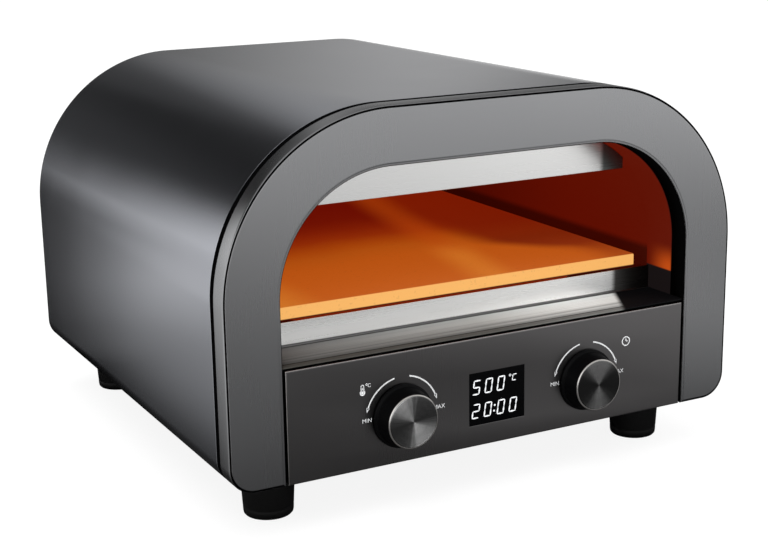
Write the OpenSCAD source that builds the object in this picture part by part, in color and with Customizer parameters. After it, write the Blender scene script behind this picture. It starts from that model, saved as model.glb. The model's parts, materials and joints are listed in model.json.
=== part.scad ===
// Countertop electric pizza maker: an arched steel case with an open mouth.
// Millimetres, +Z up, front towards -Y, origin on the ground under the middle.

/* [Case] */
// Width of the arched case
case_w = 440; // [420:2:480]
// Height of the arched case without its feet
case_h = 266; // [262:2:300]
// Depth from the front frame's face to the rear panel
case_d = 447; // [445:1:520]
// Radius of the two upper corners
arch_r = 132; // [112:2:140]
// Radius of the two lower corners
corner_r = 20; // [14:1:24]
// Thickness of the case sheets
sheet = 1.2; // [0.8:0.1:1.6]
// Clearance between pieces that are pushed together
fit_gap = 0.3; // [0.2:0.05:0.4]

/* [Front frame] */
// Depth of the front frame
frame_d = 17; // [15:1:22]
// Width of the frame's face band
frame_band = 43; // [38:1:50]
// Thickness of the frame's sheet
frame_sheet = 1.5; // [1:0.1:2]
// Width of the dark seam between the frame and the shell
seam = 4; // [2:0.5:6]
// Depth of the rim that carries the shell
rim_d = 10; // [8:1:14]
// Diameter of the bosses that the frame screws bite into
boss_d = 9; // [7:0.5:11]

/* [Control panel] */
// Height of the control panel
panel_h = 85.5; // [84:0.5:90]
// Gap between the panel and each frame leg
panel_gap = 2.2; // [1.5:0.1:3]
// Step from the frame's face back to the panel
panel_recess = 0.5; // [0:0.1:1]
// Width of the display window
display_w = 49.2; // [40:0.2:60]
// Height of the display window
display_h = 41.6; // [34:0.2:48]
// Height of the display's middle above the panel's lower edge
display_z = 37.5; // [34:0.5:42]
// Distance of each dial's axis from the middle
dial_x = 82; // [70:1:100]
// Height of the dials' axes above the panel's lower edge
dial_z = 36.5; // [34:0.5:42]

/* [Dials] */
// Reach of a knob in front of the frame's face
knob_l = 17; // [14:0.5:22]
// Diameter of a knob's front
knob_front_d = 41.5; // [36:0.5:44]
// Diameter of a knob's skirt
knob_skirt_d = 49; // [45:0.5:52]
// Diameter of a knob's end cap
cap_d = 38.6; // [34:0.2:38.8]
// Diameter of an encoder shaft
shaft_d = 6; // [5:0.5:6.5]
// Running clearance round a shaft, on the radius
run_gap = 0.05; // [0.03:0.01:0.08]
// Outer diameter of an encoder's threaded bush
bush_d = 8; // [7.5:0.5:9]

/* [Mouth] */
// Depth from the frame's face to the sill's riser
mouth_d = 48; // [44:1:56]
// Height of the sill above the control panel
sill_step = 2.5; // [2.5:0.5:5]
// Height of the riser under the stone
riser_h = 18.5; // [16:0.5:24]
// Height of the baffle strip at the top of the mouth
baffle_h = 32.5; // [26:0.5:34]
// Half width of the baffle strip
baffle_x = 148; // [120:1:150]
// Depth of the loose trim strip at the front of the sill
trim_d = 27; // [22:1:30]

/* [Pizza stone] */
// Gap between the stone and each chamber wall
stone_side = 13.3; // [10:0.1:28]
// Gap between the stone and the chamber's rear wall
stone_back = 21; // [16:1:60]
// Thickness of the stone
stone_t = 10; // [8:0.5:14]
// Gap between the riser and the stone
stone_gap = 2; // [1:0.5:6]

/* [Chamber] */
// Thickness of the chamber's sheets
liner_t = 0.8; // [0.6:0.1:1.2]
// Depth of the bay between the chamber and the rear panel
rear_bay = 46; // [42:1:60]
// Thickness of the insulation round the chamber
wool_t = 25; // [12:1:30]
// Thickness of the insulation behind the chamber
rear_wool_t = 20; // [12:1:22]
// Height of the chamber floor under the sill
floor_drop = 3; // [2.5:0.5:4]
// Height of the bay for the electrical parts
bay_h = 58; // [54:1:62]
// Width of the ledge under each side of the stone
rail_lap = 8; // [4:1:14]

/* [Heating elements] */
// Diameter of the element tubes
tube_d = 6.6; // [6:0.2:8]
// Radius of the elements' bends
bend_r = 14; // [10:1:18]
// Distance of the element ends from the middle
leg_x = 26; // [24:1:36]
// Distance of the heated loops from the case's side
loop_side = 92; // [86:1:110]
// Clear height above the upper element
upper_drop = 18; // [16:1:20]
// Diameter of the ceramic bushes round the element ends
ceramic_d = 14; // [12:1:16]

/* [Feet] */
// Height of the case above the ground
foot_h = 40; // [25:1:60]
// Diameter of a foot at its top
foot_top_d = 42; // [34:1:44]
// Diameter of a foot at the ground
foot_d = 38; // [30:1:42]
// Distance of the feet's axes from the case's side
foot_side = 51; // [50:1:80]
// Distance of the front feet behind the frame's face
foot_front = 53; // [50:1:80]
// Distance of the rear feet in front of the rear panel
foot_rear = 46; // [30:1:90]

/* [Rear] */
// Bore of the cord gland
cord_d = 8; // [6:0.5:10]
// Thread diameter of the cord gland
gland_d = 16; // [14:1:20]
// Reach of the gland behind the rear panel
gland_l = 4; // [3:0.5:8]
// Size of the square cooling fan
fan_w = 50; // [40:1:50]
// Depth of the cooling fan
fan_d = 15; // [10:1:16]
// Number of fan blades
blades = 7; // [5:1:9]
// Shank diameter of the screws
screw_d = 3.4; // [3:0.1:3.6]

/* [Hidden] */
$fn = 96;
cut = 1;                       // how far a cutting shape runs past a face
sill_t = 1;                    // sheet of the sill, trim, baffle and ring
rim_in = sheet + fit_gap;      // inset of the rims inside the shell
half_open = case_w / 2 - frame_band;
open_top = case_h - frame_band;
open_r = arch_r - frame_band;
panel_half = half_open - panel_gap;
sill_z = panel_h + sill_step;
ring_z = sill_z - sill_t;
plate_y = frame_d + sheet;     // rear face of the bulkhead's plate
ring_flange = 10;
ring_end = mouth_d + 2;
liner_gap = sill_t + fit_gap;  // growth from the mouth's outline to the liner
liner_out = liner_gap + liner_t;
liner_y = mouth_d - 4;
floor_z = sill_z - floor_drop;
wall_y = case_d - rear_bay;
shield_t = 1;
shield_z = sheet * 2 + bay_h;
wool_z = shield_z + shield_t + fit_gap;
wool_in = liner_out + fit_gap;
wool_y = ring_end + 3;
wall_grow = 12;
riser_top = sill_z + riser_h;
stone_z = riser_top + 0.5;
stone_y = mouth_d + stone_gap;
stone_w = 2 * (half_open + liner_gap - stone_side);
stone_l = wall_y - stone_y - stone_back;
rail_t = 1.5;
rail_leg = 12;
element_low_z = floor_z + (stone_z - floor_z) / 2;
element_high_z = open_top - upper_drop;
element_inset = 40;            // from the mouth and from the rear wall to the loops
element_front = mouth_d + element_inset;
element_rear = wall_y - element_inset;
element_end = wall_y + 28;
pin_d = 3;
pin_l = 6;
lead_d = 3.5;
loop_x = case_w / 2 - loop_side;
clip_x = (leg_x + loop_x) / 2; // middle runs of the elements
clip_y = [element_front + 70, element_rear - 60];
bush_y = wall_y - 3;
cutout_x = -80;                // place and diameter of the thermal cutout
cutout_z = (element_low_z + element_high_z) / 2;
cutout_d = 17;
back_y = case_d - sheet;       // inner face of the rear panel
shield_end = back_y - fan_d - 6;
rear_flange = 14;
rear_edge = 8.5;               // distance of the rear screws from the case's outside
arch_drop = 22;                // distance of the upper side screws below the arch
screw_gap = 0.05;
head_d = 7;
head_h = 2.2;
screw_l = 8;                   // length of the rear screws, from which the others follow
foot_x = case_w / 2 - foot_side;
foot_y = [foot_front, case_d - foot_rear];
board_y = panel_recess + 9;    // front face of the control board
board_t = 1.6;
board_half = dial_x + 18;
board_z = [6, 68];
post_x = board_half - 7;
post_z = [12, 62];
stud_d = 3;
nut_t = 2;
cap_t = 1.7;
cap_proud = 0.3;               // reach of the end cap in front of the knob
gland_x = -140;
gland_z = 30;
fan_x = 100;
fan_z = rear_flange + 1 + fan_w / 2;
vent_w = 5;
vent_l = 60;
vent_pitch = 14;
power_z = 12;
power_y = case_d / 2 - 3.5;
core_w = 40;                   // width of the transformer
relay_w = 22;
board_half_w = 60;             // half width and half length of the power board
board_half_l = 40;
power_posts = [for (x = [-1, 1]) for (y = [-1, 1])
    [x * (board_half_w - 7), power_y + y * (board_half_l - 7)]];
total_d = knob_l + case_d + gland_l;
face_y = knob_l - total_d / 2; // front face of the frame in the part's frame

// ---- placing helpers ----

// Puts children from the case's frame (frame face, underside, middle) into the part's frame
module in_case() {
    translate([0, face_y, foot_h]) children();
}

// Extrudes an upright outline rearwards from depth y
module along_y(y, depth) {
    translate([0, y + depth, 0]) rotate([90, 0, 0]) linear_extrude(depth) children();
}

// Round bar along the depth, from y rearwards
module bar_y(x, z, y, length, d) {
    translate([x, y + length, z]) rotate([90, 0, 0]) cylinder(h = length, d = d);
}

// Box centred across the width
module slab(half, y, length, z, height) {
    translate([-half, y, z]) cube([2 * half, length, height]);
}

// ---- outlines ----

// Arched outline of the case, drawn inwards by inset
module case_outline(inset) {
    w = case_w / 2 - inset;
    top = case_h - inset;
    r = arch_r - inset;
    rb = max(corner_r - inset, 1);
    translate([-w, inset + rb]) square([2 * w, top - r - inset - rb]);
    translate([-w + rb, inset]) square([2 * (w - rb), top - r - inset]);
    translate([-w + r, top - r]) square([2 * (w - r), r]);
    for (s = [-1, 1]) {
        translate([s * (w - r), top - r]) half_disc(r);
        translate([s * (w - rb), inset + rb]) circle(rb);
    }
}

// Upper half of a disc
module half_disc(r) {
    intersection() {
        circle(r);
        translate([-r, 0]) square([2 * r, r]);
    }
}

// Outline of the mouth, drawn outwards by grow and cut straight at height bottom
module mouth_outline(grow, bottom) {
    w = half_open + grow;
    top = open_top + grow;
    r = open_r + grow;
    translate([-w, bottom]) square([2 * w, top - r - bottom]);
    translate([-w + r, bottom]) square([2 * (w - r), top - bottom]);
    for (s = [-1, 1]) translate([s * (w - r), top - r]) half_disc(r);
}

// Places on the middle of a band that runs up both sides and over the arch
function band_points(inset, low, top_x) = [
    for (s = [-1, 1]) each [
        [s * (case_w / 2 - inset), low],
        [s * (case_w / 2 - inset), case_h - arch_r - arch_drop],
        [s * (case_w / 2 - arch_r + (arch_r - inset) * cos(45)),
            case_h - arch_r + (arch_r - inset) * sin(45)],
        [s * top_x, case_h - inset]]];

frame_points = band_points(frame_band / 2, 30, 45);
rear_points = concat(band_points(rear_edge, 45, 60), [[-90, rear_edge], [90, rear_edge]]);
panel_points = [for (s = [-1, 1]) for (z = [9, panel_h - 14]) [s * (panel_half - 8), z]];
base_points = [for (s = [-1, 1]) for (y = [90, case_d / 2, case_d - 60])
    [s * (case_w / 2 - corner_r - 4), y]];
leg_ends = [for (s = [-1, 1]) for (z = [element_low_z, element_high_z]) [s * leg_x, z]];

// Pan-headed screw that points forwards, its head seated at depth y
module screw_y(x, z, y, length) {
    bar_y(x, z, y - length, length, screw_d);
    bar_y(x, z, y, head_h, head_d);
}

module holes_y(points, y, depth, d) {
    for (p = points) bar_y(p[0], p[1], y, depth, d);
}

// ---- case ----

module outer_shell() {
    color("#5c5f64") in_case() difference() {
        union() {
            along_y(frame_d + seam, case_d - frame_d - seam) difference() {
                case_outline(0);
                case_outline(sheet);
            }
            along_y(back_y - sheet, sheet) difference() {
                case_outline(sheet / 2);
                case_outline(rear_flange);
            }
        }
        slab(case_w / 2 - corner_r - 8, frame_d, back_y - sheet - frame_d, -cut, sheet + cut * 1.5);
        holes_y(rear_points, back_y - 2 * sheet, 4 * sheet, screw_d + 2 * screw_gap);
        for (p = base_points) translate([p[0], p[1], -cut])
            cylinder(h = sheet + 2 * cut, d = screw_d + 2 * fit_gap);
    }
}

module front_frame() {
    color("#6a6c70") in_case() difference() {
        union() {
            difference() {
                along_y(0, frame_d) difference() {
                    case_outline(0);
                    mouth_outline(0, -cut);
                }
                along_y(frame_sheet, frame_d) difference() {
                    case_outline(frame_sheet);
                    mouth_outline(frame_sheet, -cut);
                }
            }
            holes_y(frame_points, frame_sheet / 2, frame_d - frame_sheet / 2, boss_d);
        }
        holes_y(frame_points, frame_d - 12, 12 + cut, screw_d + 2 * screw_gap);
    }
}

module front_bulkhead() {
    color("#151515") in_case() difference() {
        union() {
            difference() {
                along_y(frame_d, rim_d) case_outline(rim_in);
                along_y(plate_y, rim_d) case_outline(rim_in + sheet);
            }
            slab(half_open - 1, 6, frame_d - 6 + sheet / 2, ring_z - sheet, sheet);
        }
        along_y(frame_d - cut, rim_d + 2 * cut) mouth_outline(fit_gap, ring_z);
        slab(display_w / 2 + 35, frame_d - cut, sheet + 2 * cut, 14, 40); // cable window
        holes_y(concat(frame_points, panel_points), frame_d - cut, sheet + 2 * cut,
            screw_d + 2 * fit_gap);
    }
}

module rear_panel() {
    color("#3a3c3f") in_case() difference() {
        along_y(back_y, sheet) case_outline(rim_in);
        holes_y(rear_points, back_y - cut, sheet + 2 * cut, screw_d + 2 * fit_gap);
        bar_y(gland_x, gland_z, back_y - cut, sheet + 2 * cut, gland_d + 2 * fit_gap);
        fan_grille();
        for (row = [0 : 2]) for (i = [-6 : 6])
            translate([i * 18 - 6, back_y - cut, case_h - 90 + row * vent_pitch])
                cube([12, sheet + 2 * cut, vent_w]);
    }
}

// Upright slots that fill the fan's round opening
module fan_grille() {
    r = fan_w / 2 - 3;
    pitch = 6;
    for (i = [-3 : 3]) if (abs(i * pitch) < r - 2) {
        reach = sqrt(r * r - i * i * pitch * pitch);
        translate([fan_x + i * pitch - 1.5, back_y - cut, fan_z - reach])
            cube([3, sheet + 2 * cut, 2 * reach]);
    }
}

module base_plate() {
    front = frame_d + rim_d + 1;
    color("#3a3c3f") in_case() difference() {
        slab(case_w / 2 - corner_r, front, back_y - sheet - fit_gap - front, sheet, sheet);
        for (y = [power_y - board_half_l - 10 - vent_l, power_y + board_half_l + 10])
            for (i = [-7 : 7]) translate([i * vent_pitch - vent_w / 2, y, 0])
                cube([vent_w, vent_l, 4 * sheet]);
        for (s = [-1, 1]) for (y = foot_y) translate([s * foot_x, y, 0])
            cylinder(h = 4 * sheet, d = screw_d + 2 * screw_gap);
        for (p = base_points) translate([p[0], p[1], 0])
            cylinder(h = 4 * sheet, d = screw_d + 2 * screw_gap);
        for (p = power_posts) translate([p[0], p[1], 0])
            cylinder(h = 4 * sheet, d = stud_d + 2 * screw_gap);
    }
}

module foot(side, y) {
    edge = 3;
    height = foot_h + sheet;
    bottom = foot_d / 2;
    top = foot_top_d / 2;
    color("#121212") translate([side * foot_x, face_y + y, 0]) rotate_extrude() difference() {
        union() {
            polygon([[0, 0], [bottom - edge, 0], [bottom - edge, edge], [bottom, edge],
                [top, height - 2], [top, height], [0, height]]);
            translate([bottom - edge, edge]) circle(edge);
        }
        square([screw_d / 2 + screw_gap, height]);
        square([head_d / 2 + 1, height - 12]);
        translate([-top, -cut]) square([top, height + 2 * cut]);
    }
}

module foot_screws() {
    color("silver") for (s = [-1, 1]) for (y = foot_y)
        translate([s * foot_x, face_y + y, foot_h + sheet - 12]) {
            translate([0, 0, -head_h]) cylinder(h = head_h, d = head_d);
            cylinder(h = 12 + 5, d = screw_d);
        }
}

// ---- controls ----

module control_panel() {
    color("#3c3d40") in_case() difference() {
        union() {
            difference() {
                slab(panel_half, panel_recess, frame_d - panel_recess, 0, panel_h);
                slab(panel_half - sheet, panel_recess + sheet, frame_d, sheet, panel_h - 2 * sheet);
            }
            for (p = panel_points) translate([p[0] - 7.5, frame_d - sheet, p[1] - 8.5])
                cube([15, sheet, 17]);
        }
        slab(display_w / 2 + fit_gap, -cut, 3 * cut + sheet, display_z - display_h / 2 - fit_gap,
            display_h + 2 * fit_gap);
        for (s = [-1, 1]) bar_y(s * dial_x, dial_z, -cut, 3 * cut + sheet, bush_d + 2 * fit_gap);
        holes_y(panel_points, frame_d - 2 * sheet, 4 * sheet, screw_d + 2 * screw_gap);
    }
}

module display_window() {
    color("#050505") in_case()
        slab(display_w / 2, panel_recess, sheet + 0.6, display_z - display_h / 2, display_h);
}

module display_module() {
    start = panel_recess + sheet + 0.6;
    color("#202020") in_case()
        slab(display_w / 2 - 2, start, board_y - start, display_z - display_h / 2 + 2, display_h - 4);
}

module control_board() {
    color("#1f6b3a") in_case() difference() {
        slab(board_half, board_y, board_t, board_z[0], board_z[1] - board_z[0]);
        holes_y([for (s = [-1, 1]) for (z = post_z) [s * post_x, z]], board_y - cut,
            board_t + 2 * cut, stud_d + 2 * fit_gap);
    }
}

module board_standoffs() {
    start = panel_recess + sheet;
    color("silver") in_case() for (s = [-1, 1]) for (z = post_z) {
        bar_y(s * post_x, z, start, board_y - start, 2 * stud_d);
        bar_y(s * post_x, z, board_y, board_t + 3, stud_d);
    }
}

module dial_knob(side) {
    front = knob_front_d / 2;
    skirt = knob_skirt_d / 2;
    length = knob_l - cap_proud + panel_recess - 0.8;
    ring = 0.8;
    color("#141414") in_case() translate([side * dial_x, cap_proud - knob_l, dial_z])
        rotate([-90, 0, 0]) rotate_extrude() difference() {
            polygon([[0, 0], [front - ring, 0], [front, ring], [front + 1.6, length - 2.5],
                [skirt, length - 2], [skirt, length], [0, length]]);
            square([cap_d / 2 + fit_gap / 2, cap_t - cap_proud]);
            square([shaft_d / 2 + run_gap, length]);
            translate([0, length - 5.5]) square([10, 6]);
        }
}

module dial_cap(side) {
    color("#4a4a4c") in_case() translate([side * dial_x, -knob_l, dial_z])
        rotate([-90, 0, 0]) rotate_extrude()
            polygon([[0, 0], [cap_d / 2 - 0.5, 0], [cap_d / 2, 0.5], [cap_d / 2, cap_t], [0, cap_t]]);
}

module dial_shaft(side) {
    color("silver") in_case() bar_y(side * dial_x, dial_z, -knob_l + cap_t, knob_l - cap_t + 5, shaft_d);
}

module dial_encoder(side) {
    start = panel_recess + sheet;
    color("#8a8d90") in_case() difference() {
        union() {
            translate([side * dial_x - 7, start, dial_z - 7]) cube([14, board_y - start, 14]);
            bar_y(side * dial_x, dial_z, -3.5, start + 4, bush_d);
        }
        bar_y(side * dial_x, dial_z, -4, 4 + 5.5, shaft_d + 2 * run_gap);
    }
}

module dial_nut(side) {
    color("#b0b0b0") in_case() translate([side * dial_x, panel_recess, dial_z]) rotate([90, 0, 0])
        difference() {
            cylinder(h = nut_t, d = bush_d + 6, $fn = 6);
            translate([0, 0, -cut]) cylinder(h = nut_t + 2 * cut, d = bush_d + 2 * screw_gap);
        }
}

// ---- mouth ----

module mouth_ring() {
    color("#4a4a4c") in_case() difference() {
        union() {
            along_y(plate_y, ring_end - plate_y) mouth_outline(sill_t, ring_z - sill_t);
            along_y(plate_y, sill_t) mouth_outline(sill_t + ring_flange, ring_z - 5);
        }
        along_y(plate_y - cut, ring_end) mouth_outline(0, ring_z);
    }
}

module mouth_sill() {
    half = half_open - fit_gap;
    color("#c9c9c9") in_case() {
        slab(half, trim_d + fit_gap, mouth_d - trim_d - fit_gap, ring_z, sill_t);
        slab(half, mouth_d - sill_t, sill_t, ring_z, riser_h + sill_t);
    }
}

module sill_trim() {
    half = half_open - fit_gap;
    color("#bdbdbd") in_case() {
        slab(half, 1.5, trim_d - 1.5, ring_z, sill_t);
        slab(half, 1.5, sill_t, ring_z - 1, 1 + sill_t);
    }
}

module mouth_baffle() {
    color("#c9c9c9") in_case() along_y(mouth_d - sill_t, sill_t) intersection() {
        mouth_outline(-fit_gap, ring_z);
        translate([-baffle_x, open_top - baffle_h]) square([2 * baffle_x, baffle_h]);
    }
}

// ---- chamber ----

module chamber_liner() {
    color("#77706a") in_case() difference() {
        along_y(liner_y, wall_y - liner_y) mouth_outline(liner_out, floor_z);
        along_y(liner_y - cut, wall_y) mouth_outline(liner_gap, floor_z - cut);
    }
}

module chamber_floor() {
    half = half_open + liner_gap - fit_gap;
    front = ring_end + 1;
    color("#77706a") in_case() difference() {
        slab(half, front, wall_y - fit_gap - front, floor_z, 10);
        slab(half - liner_t, front - cut, wall_y, floor_z + liner_t, 10);
    }
}

module chamber_rear_wall() {
    color("#77706a") in_case() difference() {
        along_y(wall_y, liner_t) mouth_outline(wall_grow, wool_z);
        holes_y(leg_ends, wall_y - cut, liner_t + 2 * cut, ceramic_d + 2 * fit_gap);
        bar_y(0, probe_z(), wall_y - cut, liner_t + 2 * cut, 5.6);
    }
}

function probe_z() = element_high_z - 8;

module stone_rail(side) {
    wall = half_open + liner_gap;
    inner = stone_w / 2 - rail_lap;
    start = stone_y + 6;
    length = stone_l - 4;
    color("#8f8a84") in_case() mirror([side < 0 ? 1 : 0, 0, 0]) difference() {
        union() {
            translate([inner, start, stone_z - rail_t]) cube([wall - inner, length, rail_t]);
            translate([wall - rail_t, start, stone_z - rail_leg]) cube([rail_t, length, rail_leg]);
            translate([inner, start + length - rail_t, stone_z - rail_t])
                cube([wall - rail_t - inner, rail_t, rail_t + 7]);
        }
        for (y = rivet_y()) translate([wall - 2 * rail_t, y, stone_z - rail_leg / 2 - 1])
            rotate([0, 90, 0]) cylinder(h = 3 * rail_t, d = 3 + 2 * screw_gap);
    }
}

function rivet_y() = [for (k = [0 : 2]) stone_y + 40 + k * (stone_l - 80) / 2];

module rail_rivets() {
    wall = half_open + liner_gap;
    color("silver") in_case() for (s = [0, 1]) mirror([s, 0, 0]) for (y = rivet_y())
        translate([0, y, stone_z - rail_leg / 2 - 1]) {
            translate([wall - rail_t - 1, 0, 0]) rotate([0, 90, 0]) cylinder(h = 1, d = 6);
            translate([wall - rail_t, 0, 0]) rotate([0, 90, 0]) cylinder(h = rail_t, d = 3);
        }
}

module pizza_stone() {
    color("#c98b4a") in_case() slab(stone_w / 2, stone_y, stone_l, stone_z, stone_t);
}

// ---- heating elements ----

// Straight stretch from corner a to corner b, shortened at its bends
module tube_run(a, b, cut_a, cut_b, d) {
    unit = (b - a) / norm(b - a);
    from = a + unit * cut_a;
    translate([from[0], from[1], 0]) rotate([0, 0, atan2(unit[1], unit[0])]) rotate([0, 90, 0])
        cylinder(h = norm(b - a) - cut_a - cut_b, d = d, $fn = 32);
}

// Quarter bend of radius r at corner p, coming from a and going to b
module tube_bend(a, p, b, r, d) {
    into = (p - a) / norm(p - a);
    out = (b - p) / norm(b - p);
    centre = p - into * r + out * r;
    left = into[0] * out[1] > into[1] * out[0];
    first = left ? atan2(-out[1], -out[0]) : atan2(into[1], into[0]);
    translate([centre[0], centre[1], 0]) rotate([0, 0, first])
        rotate_extrude(angle = 90, $fn = 64) translate([r, 0]) circle(d = d, $fn = 32);
}

// Tube of diameter d along a flat path whose corners are all square
module tube(path, r, d) {
    last = len(path) - 1;
    for (i = [0 : last - 1])
        tube_run(path[i], path[i + 1], i == 0 ? 0 : r, i == last - 1 ? 0 : r, d);
    for (i = [1 : last - 1]) tube_bend(path[i - 1], path[i], path[i + 1], r, d);
}

module element(z) {
    half = [[leg_x, element_end], [leg_x, element_front + 35], [clip_x, element_front + 35],
        [clip_x, element_rear], [loop_x, element_rear], [loop_x, element_front]];
    other_half = [for (i = [len(half) - 1 : -1 : 0]) [-half[i][0], half[i][1]]];
    translate([0, 0, z]) {
        tube(concat(half, other_half), bend_r, tube_d);
        for (s = [-1, 1]) bar_y(s * leg_x, 0, element_end, pin_l, pin_d);
    }
}

module upper_element() {
    color("#a03818") in_case() element(element_high_z);
}

module lower_element() {
    color("#a03818") in_case() element(element_low_z);
}

// Upright plate from height low to height high with a hole for the tube at height z
module clip_plate(x, y, low, high, z) {
    difference() {
        translate([x - 6, y, low]) cube([12, sheet, high - low]);
        bar_y(x, z, y - cut, sheet + 2 * cut, tube_d + 2 * fit_gap);
    }
}

module element_clips() {
    reach = tube_d / 2 + 2.7;
    color("#9a9a9a") in_case() for (s = [-1, 1]) for (y = clip_y) {
        intersection() {
            clip_plate(s * clip_x, y, element_high_z - reach, case_h, element_high_z);
            along_y(liner_y, wall_y - liner_y) mouth_outline(liner_gap, floor_z);
        }
        clip_plate(s * clip_x, y, floor_z + liner_t, element_low_z + reach, element_low_z);
    }
}

// Four leads from the element pins down the rear bay to a plug on the power board
module wiring_harness() {
    plug_y = power_y + board_half_l - 12;
    lead_y = element_end + pin_l + lead_d / 2 + 0.5;
    lead_z = power_z + board_t + lead_d / 2 + 1;
    drops = [[leg_x - 9, element_high_z], [leg_x + 9, element_low_z]];
    color("#d8d4c8") in_case() for (s = [-1, 1]) for (p = drops) {
        translate([s * p[0], 0, 0]) rotate([90, 0, 90])
            tube([[lead_y, p[1]], [lead_y, lead_z], [plug_y + 10, lead_z]], 8, lead_d);
        difference() {
            translate([s * (leg_x + p[0]) / 2 - 8, element_end + 2, p[1] - 3.5])
                cube([16, pin_l + lead_d - 2, 7]);
            bar_y(s * leg_x, p[1], element_end, pin_l + 0.1, pin_d + 0.2);
        }
    }
    color("#ece8dc") in_case() slab(leg_x + 14, plug_y, 10, power_z + board_t, 7);
}

module element_bushes() {
    color("#e8e4da") in_case() for (p = leg_ends) difference() {
        union() {
            bar_y(p[0], p[1], bush_y, 27, ceramic_d);
            bar_y(p[0], p[1], bush_y, wall_y - bush_y, ceramic_d + 4);
        }
        bar_y(p[0], p[1], bush_y - cut, 27 + 2 * cut, tube_d + 2 * fit_gap);
    }
}

module temperature_probe() {
    color("silver") in_case() {
        bar_y(0, probe_z(), wall_y - 28, 52, 5);
        bar_y(0, probe_z(), wall_y - 2, 2, 12);
    }
}

module thermal_cutout() {
    y = wall_y + liner_t;
    color("#c8b890") in_case() {
        bar_y(cutout_x, cutout_z, y, 9, cutout_d);
        for (s = [-1, 1]) translate([cutout_x + s * 5 - 1.5, y + 8, cutout_z - 3]) cube([3, 10, 6]);
    }
}

// ---- insulation ----

module insulation_blanket() {
    color("#ded9c8") in_case() difference() {
        along_y(wool_y, wall_y - fit_gap - wool_y) mouth_outline(wool_in + wool_t, wool_z);
        along_y(wool_y - cut, wall_y) mouth_outline(wool_in, wool_z - cut);
    }
}

module floor_insulation() {
    color("#ded9c8") in_case()
        slab(half_open + wool_in - fit_gap, wool_y, wall_y - fit_gap - wool_y, wool_z,
            floor_z - fit_gap - wool_z);
}

module rear_insulation() {
    y = wall_y + liner_t + fit_gap;
    color("#ded9c8") in_case() difference() {
        along_y(y, rear_wool_t) mouth_outline(wall_grow, wool_z);
        holes_y(leg_ends, y - cut, rear_wool_t + 2 * cut, ceramic_d + 2 * fit_gap);
        bar_y(0, probe_z(), y - cut, rear_wool_t + 2 * cut, 6);
        bar_y(cutout_x, cutout_z, y - cut, rear_wool_t + 2 * cut, cutout_d + 2);
    }
}

module heat_shield() {
    half = case_w / 2 - corner_r - 4 - head_d;
    front = frame_d + rim_d + 2;
    color("#9c9fa2") in_case() difference() {
        slab(half, front, shield_end - front, 2 * sheet, shield_z + shield_t - 2 * sheet);
        slab(half - shield_t, front - cut, shield_end, 2 * sheet - cut, shield_z - 2 * sheet + cut);
    }
}

// ---- electrical parts ----

module fan_housing() {
    y = back_y - fan_d;
    color("#1c1c1c") in_case() difference() {
        translate([fan_x - fan_w / 2, y, fan_z - fan_w / 2]) cube([fan_w, fan_d, fan_w]);
        difference() {
            bar_y(fan_x, fan_z, y - cut, fan_d + 2 * cut, fan_w - 4);
            bar_y(fan_x, fan_z, y, 3, fan_w / 2);
            translate([fan_x - fan_w / 2, y, fan_z - 2]) cube([fan_w, 2, 4]);
            translate([fan_x - 2, y, fan_z - fan_w / 2]) cube([4, 2, fan_w]);
        }
        bar_y(fan_x, fan_z, y - cut, fan_d, 3 + 2 * run_gap);
    }
}

module fan_rotor() {
    y = back_y - fan_d + 3.8;
    reach = fan_w / 2 - 3;
    color("#2a2a2a") in_case() {
        bar_y(fan_x, fan_z, y, fan_d - 5.5, fan_w * 0.42);
        bar_y(fan_x, fan_z, y - 3.2, 3.4, 3);
        intersection() {
            bar_y(fan_x, fan_z, y, fan_d - 5.5, 2 * reach);
            for (k = [0 : blades - 1]) translate([fan_x, y + (fan_d - 5.5) / 2, fan_z])
                rotate([0, k * 360 / blades, 0]) rotate([0, 0, 38])
                    translate([-1, -fan_d, fan_w * 0.2]) cube([2, 2 * fan_d, reach]);
        }
    }
}

module power_board() {
    color("#1f6b3a") in_case() difference() {
        slab(board_half_w, power_y - board_half_l, 2 * board_half_l, power_z, board_t);
        for (p = power_posts) translate([p[0], p[1], power_z - cut])
            cylinder(h = board_t + 2 * cut, d = stud_d + 2 * fit_gap);
    }
}

module power_board_posts() {
    color("silver") in_case() for (p = power_posts) translate([p[0], p[1], 2 * sheet]) {
        cylinder(h = power_z - 2 * sheet, d = 2 * stud_d);
        translate([0, 0, -sheet]) cylinder(h = power_z + board_t + 3 - sheet, d = stud_d);
    }
}

module transformer() {
    color("#d6b24a") in_case() translate([-core_w - 2, power_y - 24, power_z + board_t])
        cube([core_w, core_w - 6, core_w - 10]);
}

module relays() {
    color("#2a5fa8") in_case() for (y = [-relay_w - 4, 4])
        translate([14, power_y + y, power_z + board_t]) cube([relay_w + 8, relay_w, relay_w + 2]);
}

module terminal_block() {
    color("#ece8dc") in_case() difference() {
        translate([gland_x - 24, case_d - 88, 2 * sheet]) cube([48, 22, 18]);
        for (i = [-1 : 1]) bar_y(gland_x + i * 15, 2 * sheet + 9, case_d - 89, 24, 7);
    }
}

module cord_gland() {
    color("#101010") in_case() difference() {
        union() {
            bar_y(gland_x, gland_z, case_d, gland_l, gland_d + 8);
            bar_y(gland_x, gland_z, back_y - 9, 9 + sheet, gland_d);
        }
        bar_y(gland_x, gland_z, back_y - 9 - cut, 9 + sheet + gland_l + 2 * cut, cord_d);
    }
}

module gland_nut() {
    color("#101010") in_case() translate([gland_x, back_y, gland_z]) rotate([90, 0, 0])
        difference() {
            cylinder(h = 5, d = gland_d + 8, $fn = 6);
            translate([0, 0, -cut]) cylinder(h = 5 + 2 * cut, d = gland_d + 2 * screw_gap);
        }
}

// ---- fasteners ----

module frame_screws() {
    color("silver") in_case() for (p = frame_points) screw_y(p[0], p[1], plate_y, screw_l + 2);
}

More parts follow.
